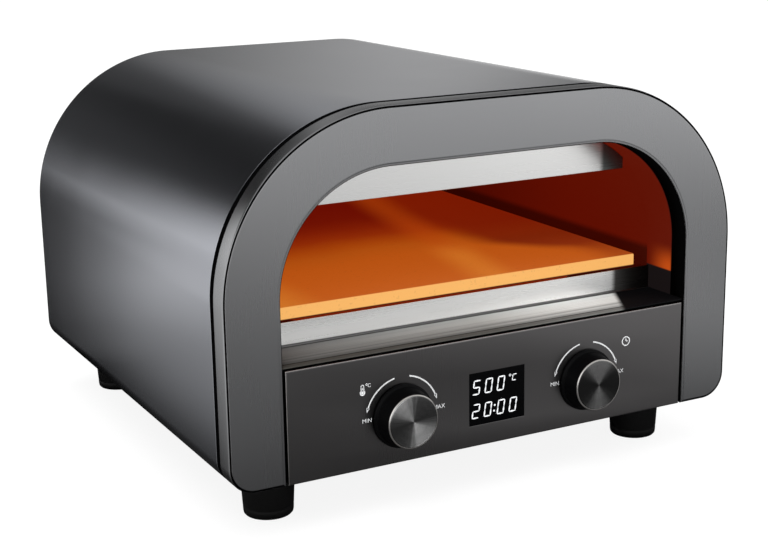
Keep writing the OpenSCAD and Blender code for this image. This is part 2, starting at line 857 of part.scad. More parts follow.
module panel_screws() {
    color("silver") in_case() for (p = panel_points) screw_y(p[0], p[1], plate_y, screw_l - 1);
}

module rear_panel_screws() {
    color("silver") in_case() for (p = rear_points) screw_y(p[0], p[1], case_d, screw_l);
}

module base_screws() {
    color("silver") in_case() for (p = base_points) translate([p[0], p[1], -head_h]) {
        cylinder(h = head_h, d = head_d);
        cylinder(h = head_h + screw_l - 2, d = screw_d);
    }
}

outer_shell();
front_frame();
front_bulkhead();
rear_panel();
base_plate();
control_panel();
display_window();
display_module();
control_board();
board_standoffs();
dial_knob(-1);  // temp_knob
dial_cap(-1);  // temp_knob_cap
dial_shaft(-1);  // temp_shaft
dial_encoder(-1);  // temp_encoder
dial_nut(-1);  // temp_encoder_nut
dial_knob(1);  // timer_knob
dial_cap(1);  // timer_knob_cap
dial_shaft(1);  // timer_shaft
dial_encoder(1);  // timer_encoder
dial_nut(1);  // timer_encoder_nut
mouth_ring();
mouth_sill();
sill_trim();
mouth_baffle();
chamber_liner();
chamber_floor();
chamber_rear_wall();
stone_rail(-1);  // stone_rail_left
stone_rail(1);  // stone_rail_right
rail_rivets();
pizza_stone();
upper_element();
lower_element();
element_clips();
element_bushes();
temperature_probe();
thermal_cutout();
wiring_harness();
insulation_blanket();
floor_insulation();
rear_insulation();
heat_shield();
foot(-1, foot_y[0]);  // foot_front_left
foot(1, foot_y[0]);  // foot_front_right
foot(-1, foot_y[1]);  // foot_rear_left
foot(1, foot_y[1]);  // foot_rear_right
foot_screws();
fan_housing();
fan_rotor();
power_board();
power_board_posts();
transformer();
relays();
terminal_block();
cord_gland();
gland_nut();
frame_screws();
panel_screws();
rear_panel_screws();
base_screws();
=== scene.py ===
"""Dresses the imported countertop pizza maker: an arched steel case, two dials, a display and a hot chamber.

A piece is drawn in millimetres in the case's own frame (across, rearwards from the front frame's face, up
from the case's underside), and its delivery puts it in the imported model's frame in metres. The studio and
the finishes are in that frame and in metres from the start.
"""

from __future__ import annotations

import json
import logging
import math
from dataclasses import dataclass
from enum import Enum
from typing import Mapping, Sequence, Union

import bmesh
import bpy
from mathutils import Matrix, Vector

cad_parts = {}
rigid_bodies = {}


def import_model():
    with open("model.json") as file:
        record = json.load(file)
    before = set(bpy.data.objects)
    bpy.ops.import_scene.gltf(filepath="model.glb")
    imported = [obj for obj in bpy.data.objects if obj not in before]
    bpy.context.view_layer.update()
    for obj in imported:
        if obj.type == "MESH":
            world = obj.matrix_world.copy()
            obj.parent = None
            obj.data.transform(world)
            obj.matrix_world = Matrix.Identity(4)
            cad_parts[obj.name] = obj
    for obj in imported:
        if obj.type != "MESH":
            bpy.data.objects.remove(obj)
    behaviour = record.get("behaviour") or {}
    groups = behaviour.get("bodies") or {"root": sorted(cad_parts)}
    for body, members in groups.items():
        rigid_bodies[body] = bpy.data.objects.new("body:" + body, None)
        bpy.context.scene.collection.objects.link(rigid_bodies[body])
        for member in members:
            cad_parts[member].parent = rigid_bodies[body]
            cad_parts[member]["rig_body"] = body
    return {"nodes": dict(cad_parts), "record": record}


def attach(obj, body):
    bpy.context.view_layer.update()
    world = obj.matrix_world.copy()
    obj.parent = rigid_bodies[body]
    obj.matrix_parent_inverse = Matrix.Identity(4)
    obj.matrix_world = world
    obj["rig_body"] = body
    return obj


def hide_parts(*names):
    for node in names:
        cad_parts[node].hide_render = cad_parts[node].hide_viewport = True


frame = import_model()

LOG = logging.getLogger("pizza_maker")
MM = 0.001
FACE_Y = -217.0
FOOT_HEIGHT = 40.0
TO_ROW = Matrix.Translation((0, FACE_Y * MM, FOOT_HEIGHT * MM)) @ Matrix.Scale(MM, 4)
MERGE_WITHIN = 1e-4
SHARP_FROM = math.radians(32)
BEVEL_FROM = math.radians(40)

Colour = tuple[float, float, float]
Point = tuple[float, float]
Place = Sequence[float]
Stops = tuple[tuple[float, Colour], ...]
Value = Union[float, "Signal"]


# ---------------------------------------------------------------------------
# Shader words
# ---------------------------------------------------------------------------


class Signal:
    """A number in a shader. Python's operators on it add the Math nodes."""

    def __init__(self, nodes: NodeBench, socket: bpy.types.NodeSocket) -> None:
        """Wraps one output socket."""
        self.nodes = nodes
        self.socket = socket

    def __add__(self, other: Value) -> Signal:
        """Sum."""
        return self.nodes.math("ADD", self, other)

    def __sub__(self, other: Value) -> Signal:
        """Difference."""
        return self.nodes.math("SUBTRACT", self, other)

    def __rsub__(self, other: Value) -> Signal:
        """Difference, with the signal taken away."""
        return self.nodes.math("SUBTRACT", other, self)

    def __mul__(self, other: Value) -> Signal:
        """Product."""
        return self.nodes.math("MULTIPLY", self, other)

    def __truediv__(self, other: Value) -> Signal:
        """Quotient."""
        return self.nodes.math("DIVIDE", self, other)

    def __rtruediv__(self, other: Value) -> Signal:
        """Quotient, with the signal below the line."""
        return self.nodes.math("DIVIDE", other, self)

    __radd__ = __add__
    __rmul__ = __mul__

    def band(self, low: float, high: float) -> Signal:
        """Rises smoothly from 0 at low to 1 at high, or falls where low is the larger.

        Args:
            low: value that gives 0.
            high: value that gives 1.

        Returns:
            The smoothed share from 0 to 1.
        """
        node = self.nodes.node("ShaderNodeMapRange", {"interpolation_type": "SMOOTHSTEP", "clamp": True},
                               {"Value": self, "From Min": low, "From Max": high})
        return Signal(self.nodes, node.outputs["Result"])

    def between(self, low: float, high: float, soft: float) -> Signal:
        """1 from low to high and 0 beyond them, with both sides soft over a width."""
        return self.band(low, low + soft) * self.band(high, high - soft)


class NodeBench:
    """Adds nodes to one node tree."""

    def __init__(self, tree: bpy.types.NodeTree) -> None:
        """Empties the tree."""
        self.tree = tree
        tree.nodes.clear()

    def node(self, kind: str, settings: Mapping[str, object] | None = None,
             inputs: Mapping[str | int, object] | None = None) -> bpy.types.Node:
        """Adds a node.

        Args:
            kind: Blender's type name of the node.
            settings: properties of the node, set first; "stops" are a ramp's positions and colours.
            inputs: value or link of each socket, by its name or place.

        Returns:
            The new node.
        """
        node = self.tree.nodes.new(kind)
        for name, value in (settings or {}).items():
            if name != "stops":
                setattr(node, name, value)
                continue
            elements = node.color_ramp.elements
            while len(elements) < len(value):
                elements.new(1.0)
            for element, (position, colour) in zip(elements, value):
                element.position = position
                element.color = (*colour, 1.0)
        for name, value in (inputs or {}).items():
            self.feed(node.inputs[name], value)
        return node

    def feed(self, socket: bpy.types.NodeSocket, value: object) -> None:
        """Sets a socket or links it.

        Args:
            socket: the input.
            value: a number, a colour, a vector, a Signal or an output socket.
        """
        if isinstance(value, Signal):
            self.tree.links.new(value.socket, socket)
        elif isinstance(value, bpy.types.NodeSocket):
            self.tree.links.new(value, socket)
        elif socket.type == "RGBA" and len(value) == 3:
            socket.default_value = (*value, 1.0)
        else:
            socket.default_value = value

    def math(self, operation: str, *values: Value) -> Signal:
        """Adds a Math node of the operation that Blender names so."""
        node = self.node("ShaderNodeMath", {"operation": operation}, dict(enumerate(values)))
        return Signal(self, node.outputs[0])

    def vector(self, operation: str, *values: object) -> bpy.types.Node:
        """Adds a Vector Math node of the operation that Blender names so."""
        return self.node("ShaderNodeVectorMath", {"operation": operation}, dict(enumerate(values)))

    def mix(self, share: Value, low: object, high: object) -> bpy.types.NodeSocket:
        """Mixes two colours: a share of 0 gives low, and 1 gives high."""
        node = self.node("ShaderNodeMix", {"data_type": "RGBA"}, {0: share, 6: low, 7: high})
        return node.outputs[2]

    def ramp(self, share: Value, stops: Sequence[tuple[float, Colour]]) -> bpy.types.NodeSocket:
        """Looks a share from 0 to 1 up in a ramp, whose stops are places and colours in order."""
        return self.node("ShaderNodeValToRGB", {"stops": stops}, {"Fac": share}).outputs["Color"]

    def place(self, scale: Sequence[float] = (1, 1, 1),
              centre: Sequence[float] = (0, 0, 0)) -> bpy.types.NodeSocket:
        """Object coordinates, moved and stretched.

        Args:
            scale: stretch of each axis.
            centre: point in metres that becomes the origin.

        Returns:
            The vector's socket.
        """
        source = self.node("ShaderNodeTexCoord").outputs["Object"]
        offset = [-c * s for c, s in zip(centre, scale)]
        moved = {"Vector": source, "Location": offset, "Scale": tuple(scale)}
        return self.node("ShaderNodeMapping", inputs=moved).outputs[0]

    def axes(self, vector: bpy.types.NodeSocket) -> tuple[Signal, Signal, Signal]:
        """Splits a vector into its three numbers."""
        split = self.node("ShaderNodeSeparateXYZ", inputs={0: vector})
        return tuple(Signal(self, split.outputs[i]) for i in range(3))

    def noise(self, vector: bpy.types.NodeSocket, scale: float, detail: float = 3.0,
              roughness: float = 0.55) -> Signal:
        """Noise around one half.

        Args:
            vector: where it is read.
            scale: its fineness.
            detail: number of finer layers.
            roughness: weight of the finer layers.

        Returns:
            The noise.
        """
        node = self.node("ShaderNodeTexNoise", inputs={"Vector": vector, "Scale": scale, "Detail": detail,
                                                       "Roughness": roughness})
        return Signal(self, node.outputs["Fac"])

    def bump(self, height: Signal, depth: float) -> bpy.types.NodeSocket:
        """A normal from a height of 0 to 1, where 1 stands for a depth in metres."""
        return self.node("ShaderNodeBump", inputs={"Height": height, "Distance": depth}).outputs[0]


class Coat(NodeBench):
    """A material with one Principled surface."""

    def __init__(self, name: str, **sockets: object) -> None:
        """Starts the material.

        Args:
            name: the material's name.
            sockets: values of the surface's sockets, with _ for a space.
        """
        self.material = bpy.data.materials.new(name)
        self.material.use_nodes = True
        super().__init__(self.material.node_tree)
        self.surface = self.node("ShaderNodeBsdfPrincipled")
        self.node("ShaderNodeOutputMaterial", inputs={0: self.surface.outputs[0]})
        self.wear(**sockets)

    def wear(self, **sockets: object) -> Coat:
        """Sets or links sockets of the surface.

        Args:
            sockets: values of the surface's sockets, with _ for a space.

        Returns:
            The coat.
        """
        for name, value in sockets.items():
            self.feed(self.surface.inputs[name.replace("_", " ")], value)
        return self


def tint(colour: Colour, factor: float) -> Colour:
    """A colour made lighter or darker by a factor."""
    return tuple(min(c * factor, 1.0) for c in colour)


# ---------------------------------------------------------------------------
# Finishes
# ---------------------------------------------------------------------------


@dataclass(frozen=True)
class CoatedSteel:
    """Tinted steel sheet with a fine directional grain, and, where right is set, a painted highlight that
    makes it paler towards its right end.
    """

    colour: Colour
    roughness: float
    grain: tuple[float, float, float]
    metallic: float = 1.0
    depth: float = 0.000004
    streak: float = 0.025
    level: float = 0.5
    edge: float = 0.6
    # right: painted highlight, the factor by which the colour is paler at the sheet's right end
    right: float = 1.0
    soiling: float = 0.16

    def make(self, name: str) -> bpy.types.Material:
        """Builds the material.

        Args:
            name: the material's name.

        Returns:
            The material.
        """
        coat = Coat(name, Metallic=self.metallic, Specular_IOR_Level=self.level,
                    Specular_Tint=(self.edge,) * 3)
        lines = coat.noise(coat.place(self.grain), 1.0, 4.0, 0.6)
        cloud = coat.noise(coat.place((9, 9, 9)), 1.0, 2.0)
        low, high = tint(self.colour, 1 - self.streak), tint(self.colour, 1 + self.streak)
        # painted highlight: both ends of the grain's colour grow paler towards the right
        if self.right != 1.0:
            share = coat.axes(coat.place())[0].band(-0.15, 0.15)
            low, high = (coat.mix(share, end, tint(end, self.right)) for end in (low, high))
        shade = coat.mix(lines, low, high)
        shade = coat.mix(cloud * self.soiling, shade, tint(self.colour, 0.8))
        rough = (lines - 0.5) * self.streak * 1.5 + (cloud - 0.5) * 0.04 + self.roughness
        return coat.wear(Base_Color=shade, Roughness=rough, Normal=coat.bump(lines, self.depth)).material


@dataclass(frozen=True)
class SatinMoulding:
    """Moulded plastic or rubber with a spark-eroded skin."""

    colour: Colour
    roughness: float
    grain: float = 2400.0
    depth: float = 0.00002
    level: float = 0.12

    def make(self, name: str) -> bpy.types.Material:
        """Builds the material.

        Args:
            name: the material's name.

        Returns:
            The material.
        """
        coat = Coat(name, Specular_IOR_Level=self.level)
        skin = coat.noise(coat.place(), self.grain, 2.0)
        cloud = coat.noise(coat.place(), 40.0, 3.0)
        shade = coat.mix(cloud, tint(self.colour, 0.85), tint(self.colour, 1.2))
        rough = (cloud - 0.5) * 0.12 + (skin - 0.5) * 0.1 + self.roughness
        return coat.wear(Base_Color=shade, Roughness=rough, Normal=coat.bump(skin, self.depth)).material


@dataclass(frozen=True)
class SpunMetal:
    """Metal faced on a lathe: fine rings round one axis, which spread the gloss into spokes, with bright and
    dark spokes also painted into its colour, a painted reflection.
    """

    colour: Colour
    roughness: float
    centre: tuple[float, float, float]
    # direction, in degrees round the axis, of the painted bright spokes
    painted_spoke_angle: float
    tilt: float = 1.5
    fine_rings: float = 9000.0
    coarse_rings: float = 1500.0
    # dark and bright: tints of the painted dark and bright spokes
    dark: float = 0.25
    bright: float = 1.9

    @staticmethod
    def rings(coat: Coat, radius: Signal, fineness: float, detail: float) -> Signal:
        """Noise that changes with the radius alone.

        Args:
            coat: the nodes.
            radius: distance from the axis.
            fineness: scale of the noise.
            detail: number of finer layers.

        Returns:
            The noise.
        """
        node = coat.node("ShaderNodeTexNoise", {"noise_dimensions": "1D"},
                         {"W": radius, "Scale": fineness, "Detail": detail})
        return Signal(coat, node.outputs["Fac"])

    def make(self, name: str) -> bpy.types.Material:
        """Builds the material.

        Args:
            name: the material's name.

        Returns:
            The material.
        """
        coat = Coat(name, Metallic=1.0)
        flat = coat.vector("MULTIPLY", coat.place(centre=self.centre), (1.0, 0.0, 1.0)).outputs[0]
        radius = Signal(coat, coat.vector("LENGTH", flat).outputs["Value"])
        outward = coat.vector("NORMALIZE", flat).outputs[0]
        across, _, up = coat.axes(outward)
        to_world = {"convert_from": "OBJECT", "convert_to": "WORLD", "vector_type": "VECTOR"}
        turned = coat.node("ShaderNodeVectorTransform", to_world, {0: outward}).outputs[0]
        lean = (self.rings(coat, radius, self.fine_rings, 1.0) - 0.5) * self.tilt
        scaled = {0: turned, "Scale": lean}
        lean = coat.node("ShaderNodeVectorMath", {"operation": "SCALE"}, scaled).outputs[0]
        normal = coat.node("ShaderNodeNewGeometry").outputs["Normal"]
        normal = coat.vector("NORMALIZE", coat.vector("ADD", normal, lean).outputs[0]).outputs[0]
        rough = (self.rings(coat, radius, self.coarse_rings, 2.0) - 0.5) * 0.1 + self.roughness
        # painted reflection: bright spokes along the given direction and dark ones across it, with some
        # random variation round the axis
        way = Vector((math.cos(math.radians(self.painted_spoke_angle)), math.sin(math.radians(self.painted_spoke_angle))))
        along = across * way.x + up * way.y
        fan = coat.noise(coat.vector("ABSOLUTE", outward).outputs[0], 13.0, 4.0, 0.7)
        share = (along * along * along * (along + 0.22) + (fan - 0.5) * 0.9).band(0.0, 0.95)
        shade = coat.mix(share, tint(self.colour, self.dark), tint(self.colour, self.bright))
        return coat.wear(Base_Color=shade, Roughness=rough, Normal=normal).material


@dataclass(frozen=True)
class SillSteel:
    """Brushed sheet of the sill and the baffle, with painted light: a painted reflection of the mouth's black
    end at their right end, a painted sheen that runs the tread from dark grey at its left to pale grey at its
    right, the baffle painted paler to the right, painted shade in the fold and on the front lip, and the
    tread darker towards its front.
    """

    colour: Colour = (0.97, 0.97, 0.96)
    # painted reflection of the mouth's black end: black on the tread, two dark greys on the riser and on the
    # baffle
    black: Colour = (0.004, 0.004, 0.0045)
    painted_reflection_greys: tuple[Colour, Colour] = ((0.1, 0.096, 0.092), (0.15, 0.165, 0.16))
    # colour the tread darkens towards near its front, in noisy patches
    front_darkening: Colour = (0.03, 0.03, 0.028)
    scratch: Colour = (0.04, 0.04, 0.038)
    # painted shade in the fold between riser and tread
    crease_shade: Colour = (0.02, 0.02, 0.02)
    # lip: painted shade on the trim's front lip
    lip: Colour = (0.03, 0.024, 0.016)
    gap: Colour = (0.006, 0.005, 0.004)
    # painted sheen: the tread's grey runs from dark at its left to pale at its right
    tread: Stops = ((0.0, (0.165, 0.17, 0.165)), (0.22, (0.25, 0.258, 0.25)), (0.5, (0.41, 0.425, 0.41)),
                    (0.75, (0.88, 0.92, 0.9)), (1.0, (0.88, 0.92, 0.9)))
    tread_width: float = 0.36
    tread_ends: tuple[float, float] = (-0.2165, -0.176)
    lip_y: float = -0.2096
    groove_y: tuple[float, float] = (-0.2098, -0.2076)
    seam_y: tuple[float, float] = (-0.1995, -0.1985)
    riser_y: float = -0.1712
    crease_z: float = 0.1302
    baffle_z: tuple[float, float] = (0.18, 0.2)
    # where the painted reflection's black end starts, and the slant of its edge across the tread
    mirror_end: float = 0.141
    mirror_slant: float = 0.53

    def make(self, name: str) -> bpy.types.Material:
        """Builds the material.

        Args:
            name: the material's name.

        Returns:
            The material.
        """
        coat = Coat(name, Specular_IOR_Level=0.03, Specular_Tint=(0.9, 0.9, 0.9))
        across, rear, up = coat.axes(coat.place())
        lines = coat.noise(coat.place((5, 1500, 1500)), 1.0, 4.0, 0.6)
        wide = coat.noise(coat.place((2, 260, 260)), 1.0, 3.0, 0.6)
        standing = rear.band(self.riser_y, self.riser_y + 0.0006)
        baffle = up.band(*self.baffle_z)
        # painted reflection: the black end is cut on a slant across the tread
        drawn = (rear - self.riser_y) * (1 - standing) * self.mirror_slant
        end = (across + baffle * 0.014 - drawn).band(self.mirror_end - 0.003, self.mirror_end + 0.003)
        upright = coat.mix(lines, tint(self.colour, 0.97), self.colour)
        # painted sheen: the baffle is paler towards its right
        baffle_sheen = coat.mix(across.band(-0.15, 0.13), tint(self.colour, 0.62), tint(self.colour, 0.76))
        upright = coat.mix(baffle, upright, baffle_sheen)
        # painted sheen across the tread, dark grey at the left to pale grey at the right
        flat = coat.ramp(across / self.tread_width + 0.5, self.tread)
        # share of the tread away from its darker front, broken up by noise
        rear_share = (rear.band(*self.tread_ends) + (wide - 0.5) * 1.1).band(0.0, 0.9)
        flat = coat.mix(rear_share, coat.mix(0.66, flat, self.front_darkening), flat)
        flat = coat.mix((lines - 0.5).band(0.02, 0.2) * 0.35, flat, self.scratch)
        # painted shade on the front lip
        flat = coat.mix(rear.band(self.lip_y + 0.0007, self.lip_y) * 0.55, flat, self.lip)
        groove = rear.between(*self.groove_y, 0.0006)
        seam = rear.between(*self.seam_y, 0.0003)
        flat = coat.mix(groove * 0.9 + seam * 0.4, flat, self.gap)
        shade = coat.mix(standing, flat, upright)
        # painted shade along the fold where the riser meets the tread
        crease_shade = rear.band(-0.1724, -0.1719) * up.band(self.crease_z, self.crease_z - 0.0007)
        shade = coat.mix(crease_shade * 0.85, shade, self.crease_shade)
        # painted reflection of the mouth's black end laid over the right end
        black = coat.mix(standing, self.black, coat.mix(baffle, *self.painted_reflection_greys))
        shade = coat.mix(end, shade, black)
        rough = (lines - 0.5) * 0.06 + 0.62 - standing * 0.34
        return coat.wear(Base_Color=shade, Metallic=standing, Roughness=rough,
                         Normal=coat.bump(lines, 0.000002)).material


@dataclass(frozen=True)
class HotSteel:
    """Chamber sheet with the elements' light painted on it as emission: a dark red painted glow, a painted
    orange pool of light low at the mouth, a painted fall-off rearwards, a painted shadow low by the stone,
    and nearly black painted shade below and in front of the heights that a sheet sets.
    """

    colour: Colour = (0.025, 0.008, 0.005)
    # unlit and unlit_glow are painted shade; the glows that follow are the elements' light, painted as
    # emission
    unlit: Colour = (0.003, 0.003, 0.003)
    glow: Colour = (0.102, 0.0040, 0.0004)
    pool_glow: Colour = (0.5, 0.068, 0.005)
    rear_glow: Colour = (0.03, 0.001, 0.0)
    # a darker glow low by the stone: painted shadow
    stone_shadow_glow: Colour = (0.012, 0.0006, 0.0)
    unlit_glow: Colour = (0.0075, 0.0050, 0.0052)
    dark_below: float = 0.0
    dark_before: float = -1.0
    pool: float = 0.0

    def make(self, name: str) -> bpy.types.Material:
        """Builds the material.

        Args:
            name: the material's name.

        Returns:
            The material.
        """
        coat = Coat(name, Emission_Strength=1.0, Specular_IOR_Level=0.0)
        lines = coat.noise(coat.place((12, 12, 700)), 1.0, 3.0)
        stain = coat.noise(coat.place(), 26.0, 4.0, 0.6)
        _, rear, up = coat.axes(coat.place())
        # painted pool of light low at the mouth, then a painted fall-off rearwards and a painted shadow low
        # by the stone
        pool = up.band(0.17, 0.149) * rear.band(-0.167, -0.197) * self.pool
        glow = coat.mix(pool, self.glow, self.pool_glow)
        glow = coat.mix(rear.band(-0.08, 0.17) * 0.6, glow, self.rear_glow)
        glow = coat.mix(up.band(0.165, 0.158) * (1 - self.pool) * 0.75, glow, self.stone_shadow_glow)
        # painted shade below and in front of the set heights
        above = up.band(self.dark_below, self.dark_below + 0.0015)
        lit = above * rear.band(self.dark_before, self.dark_before + 0.004)
        glow = coat.mix(lit, self.unlit_glow, glow)
        shade = coat.mix(stain, tint(self.colour, 0.75), tint(self.colour, 1.15))
        shade = coat.mix(lit, self.unlit, shade)
        rough = (stain - 0.5) * 0.2 + 0.5
        return coat.wear(Base_Color=shade, Roughness=rough, Emission_Color=glow,
                         Normal=coat.bump(lines, 0.00002)).material


@dataclass(frozen=True)
class BakingStone:
    """Cordierite slab: sandy, speckled and pitted, with the elements' light painted on it as emission:
    brightest where it faces the mouth, a painted shadow over its right side, a painted highlight streak,
    painted highlights at its front-left corner and front edge, and painted shade on its underside.
    """

    colour: Colour = (0.11, 0.048, 0.016)
    speck: Colour = (0.05, 0.03, 0.018)
    # underside: painted shade of the slab's underside
    underside: Colour = (0.01, 0.004, 0.002)
    # the elements' light, painted as emission: open_glow where the slab is lit, shaded_glow in painted
    # shadow, then the painted highlights and the painted shade of the underside
    open_glow: Stops = (
        (0.0, (0.47, 0.085, 0.005)), (0.25, (0.44, 0.078, 0.004)), (0.4, (0.39, 0.070, 0.0035)),
        (0.5, (0.34, 0.05, 0.002)), (0.64, (0.24, 0.02, 0.0012)), (0.77, (0.18, 0.0095, 0.0008)),
        (0.9, (0.13, 0.0035, 0.0004)), (1.0, (0.12, 0.0025, 0.0003)))
    shaded_glow: Stops = (
        (0.0, (0.33, 0.048, 0.003)), (0.1, (0.2, 0.019, 0.002)), (0.25, (0.165, 0.0125, 0.001)),
        (0.38, (0.175, 0.012, 0.0008)), (0.6, (0.165, 0.008, 0.0005)), (1.0, (0.175, 0.0085, 0.0005)))
    streak_glow: tuple[Colour, Colour] = ((0.43, 0.055, 0.003), (0.66, 0.21, 0.022))
    corner_glow: Colour = (0.66, 0.22, 0.024)
    edge_glow: Colour = (0.86, 0.44, 0.125)
    underside_shade_glow: Colour = (0.035, 0.003, 0.001)
    speck_glow: Colour = (0.1, 0.02, 0.0)
    front_y: float = -0.167
    low_z: float = 0.147

    def make(self, name: str) -> bpy.types.Material:
        """Builds the material.

        Args:
            name: the material's name.

        Returns:
            The material.
        """
        coat = Coat(name, Emission_Strength=1.0, Specular_IOR_Level=0.25)
        across, rear, up = coat.axes(coat.place())
        grain = coat.noise(coat.place(), 900.0, 4.0, 0.7)
        cloud = coat.noise(coat.place((9, 5, 9)), 1.0, 3.0)
        speck = coat.noise(coat.place(), 320.0, 2.0).band(0.62, 0.7)
        shade = coat.mix(cloud, tint(self.colour, 0.85), tint(self.colour, 1.12))
        shade = coat.mix(speck * 0.35, shade, self.speck)
        depth = rear.band(-0.175, 0.13) + (cloud - 0.5) * 0.16
        glow = coat.ramp(depth, self.open_glow)
        shaded = coat.ramp(depth, self.shaded_glow)
        # painted shadow over the slab's right side
        side = (across - rear.band(-0.06, -0.14) * 0.055 + (cloud - 0.5) * 0.03).band(0.062, 0.1)
        glow = coat.mix(side, glow, shaded)
        # painted highlight: a lighter streak running rearwards
        streak = 1 - coat.math("ABSOLUTE", across - rear * 0.17 - 0.056) / 0.03
        streak_highlight = coat.mix(depth.band(0.42, 0.12), *self.streak_glow)
        glow = coat.mix(streak.band(0.0, 1.0) * 0.45, glow, streak_highlight)
        # painted highlight at the front-left corner
        corner = across.band(-0.11, -0.155) * depth.band(0.35, 0.0)
        glow = coat.mix(corner * 0.5, glow, self.corner_glow)
        # painted highlight along the front edge
        edge = rear.band(self.front_y + 0.0015, self.front_y + 0.0002)
        glow = coat.mix(edge, glow, self.edge_glow)
        # painted shade on the underside
        under = up.band(self.low_z + 0.0016, self.low_z + 0.0006)
        glow = coat.mix(under, glow, self.underside_shade_glow)
        shade = coat.mix(under, shade, self.underside)
        glow = coat.mix(speck * 0.12, glow, self.speck_glow)
        rough = (grain - 0.5) * 0.15 + 0.85
        return coat.wear(Base_Color=shade, Roughness=rough, Emission_Color=glow,
                         Normal=coat.bump(grain, 0.00012)).material


@dataclass(frozen=True)
class GlowingTube:
    """Sheath of a heating element at working heat."""

    colour: tuple[Colour, Colour] = ((0.05, 0.04, 0.035), (0.14, 0.11, 0.09))
    upper_glow: Colour = (0.95, 0.20, 0.02)
    lower_glow: Colour = (0.16, 0.008, 0.0003)
    scale_glow: Colour = (0.2, 0.018, 0.001)
    cold_glow: Colour = (0.02, 0.002, 0.0)

    def make(self, name: str) -> bpy.types.Material:
        """Builds the material.

        Args:
            name: the material's name.

        Returns:
            The material.
        """
        coat = Coat(name, Emission_Strength=1.0, Metallic=0.3)
        scale = coat.noise(coat.place(), 300.0, 4.0, 0.6)
        _, rear, up = coat.axes(coat.place())
        glow = coat.mix(up.band(0.150, 0.146), self.upper_glow, self.lower_glow)
        glow = coat.mix(scale * 0.5, glow, self.scale_glow)
        glow = coat.mix(rear.band(0.16, 0.19), glow, self.cold_glow)
        shade = coat.mix(scale, *self.colour)
        return coat.wear(Base_Color=shade, Roughness=0.6 - scale * 0.15, Emission_Color=glow,
                         Normal=coat.bump(scale, 0.00005)).material


@dataclass(frozen=True)
class Fibre:
    """Felted ceramic wool."""

    colour: Colour = (0.74, 0.70, 0.60)

    def make(self, name: str) -> bpy.types.Material:
        """Builds the material.

        Args:
            name: the material's name.

        Returns:
            The material.
        """
        coat = Coat(name, Roughness=0.95, Sheen_Weight=0.2)
        strands = coat.noise(coat.place((400, 90, 400)), 1.0, 5.0, 0.7)
        lumps = coat.noise(coat.place(), 60.0, 3.0)
        shade = coat.mix(strands, tint(self.colour, 0.7), tint(self.colour, 1.15))
        return coat.wear(Base_Color=shade, Normal=coat.bump(strands * 0.6 + lumps, 0.0008)).material


@dataclass(frozen=True)
class CircuitBoard:
    """Green solder mask with copper tracks under it."""

    mask: Colour = (0.012, 0.16, 0.045)
    track: Colour = (0.03, 0.30, 0.08)

    def make(self, name: str) -> bpy.types.Material:
        """Builds the material.

        Args:
            name: the material's name.

        Returns:
            The material.
        """
        coat = Coat(name, Coat_Weight=0.6, Coat_Roughness=0.15)
        tracks = coat.node("ShaderNodeTexBrick", {"offset": 0.4},
                           {"Vector": coat.place((90, 90, 90)), "Mortar Size": 0.03, "Scale": 3.0})
        line = Signal(coat, tracks.outputs["Fac"])
        shade = coat.mix(line, self.mask, self.track)
        return coat.wear(Base_Color=shade, Roughness=0.45 - line * 0.1,
                         Normal=coat.bump(line, 0.00004)).material


@dataclass(frozen=True)
class GlossGlass:
    """Black back-painted glass."""

    colour: Colour = (0.0006, 0.0006, 0.0008)
    smear: Colour = (0.0014, 0.0014, 0.0017)

    def make(self, name: str) -> bpy.types.Material:
        """Builds the material.

        Args:
            name: the material's name.

        Returns:
            The material.
        """
        coat = Coat(name, Specular_IOR_Level=0.05)
        smear = coat.noise(coat.place((30, 30, 60)), 1.0, 3.0)
        shade = coat.mix(smear, self.colour, self.smear)
        return coat.wear(Base_Color=shade, Roughness=smear * 0.08 + 0.05).material


@dataclass(frozen=True)
class PrintedWhite:
    """White ink or lit segments."""

    glow: float = 0.0
    colour: tuple[Colour, Colour] = ((0.70, 0.71, 0.72), (0.86, 0.87, 0.88))
    light: tuple[Colour, Colour] = ((0.80, 0.84, 0.88), (0.92, 0.95, 1.0))

    def make(self, name: str) -> bpy.types.Material:
        """Builds the material.

        Args:
            name: the material's name.

        Returns:
            The material.
        """
        coat = Coat(name, Emission_Strength=self.glow)
        speck = coat.noise(coat.place(), 900.0, 2.0)
        shade = coat.mix(speck, *self.colour)
        light = coat.mix(speck, *self.light)
        return coat.wear(Base_Color=shade, Roughness=0.6 - speck * 0.1, Emission_Color=light).material


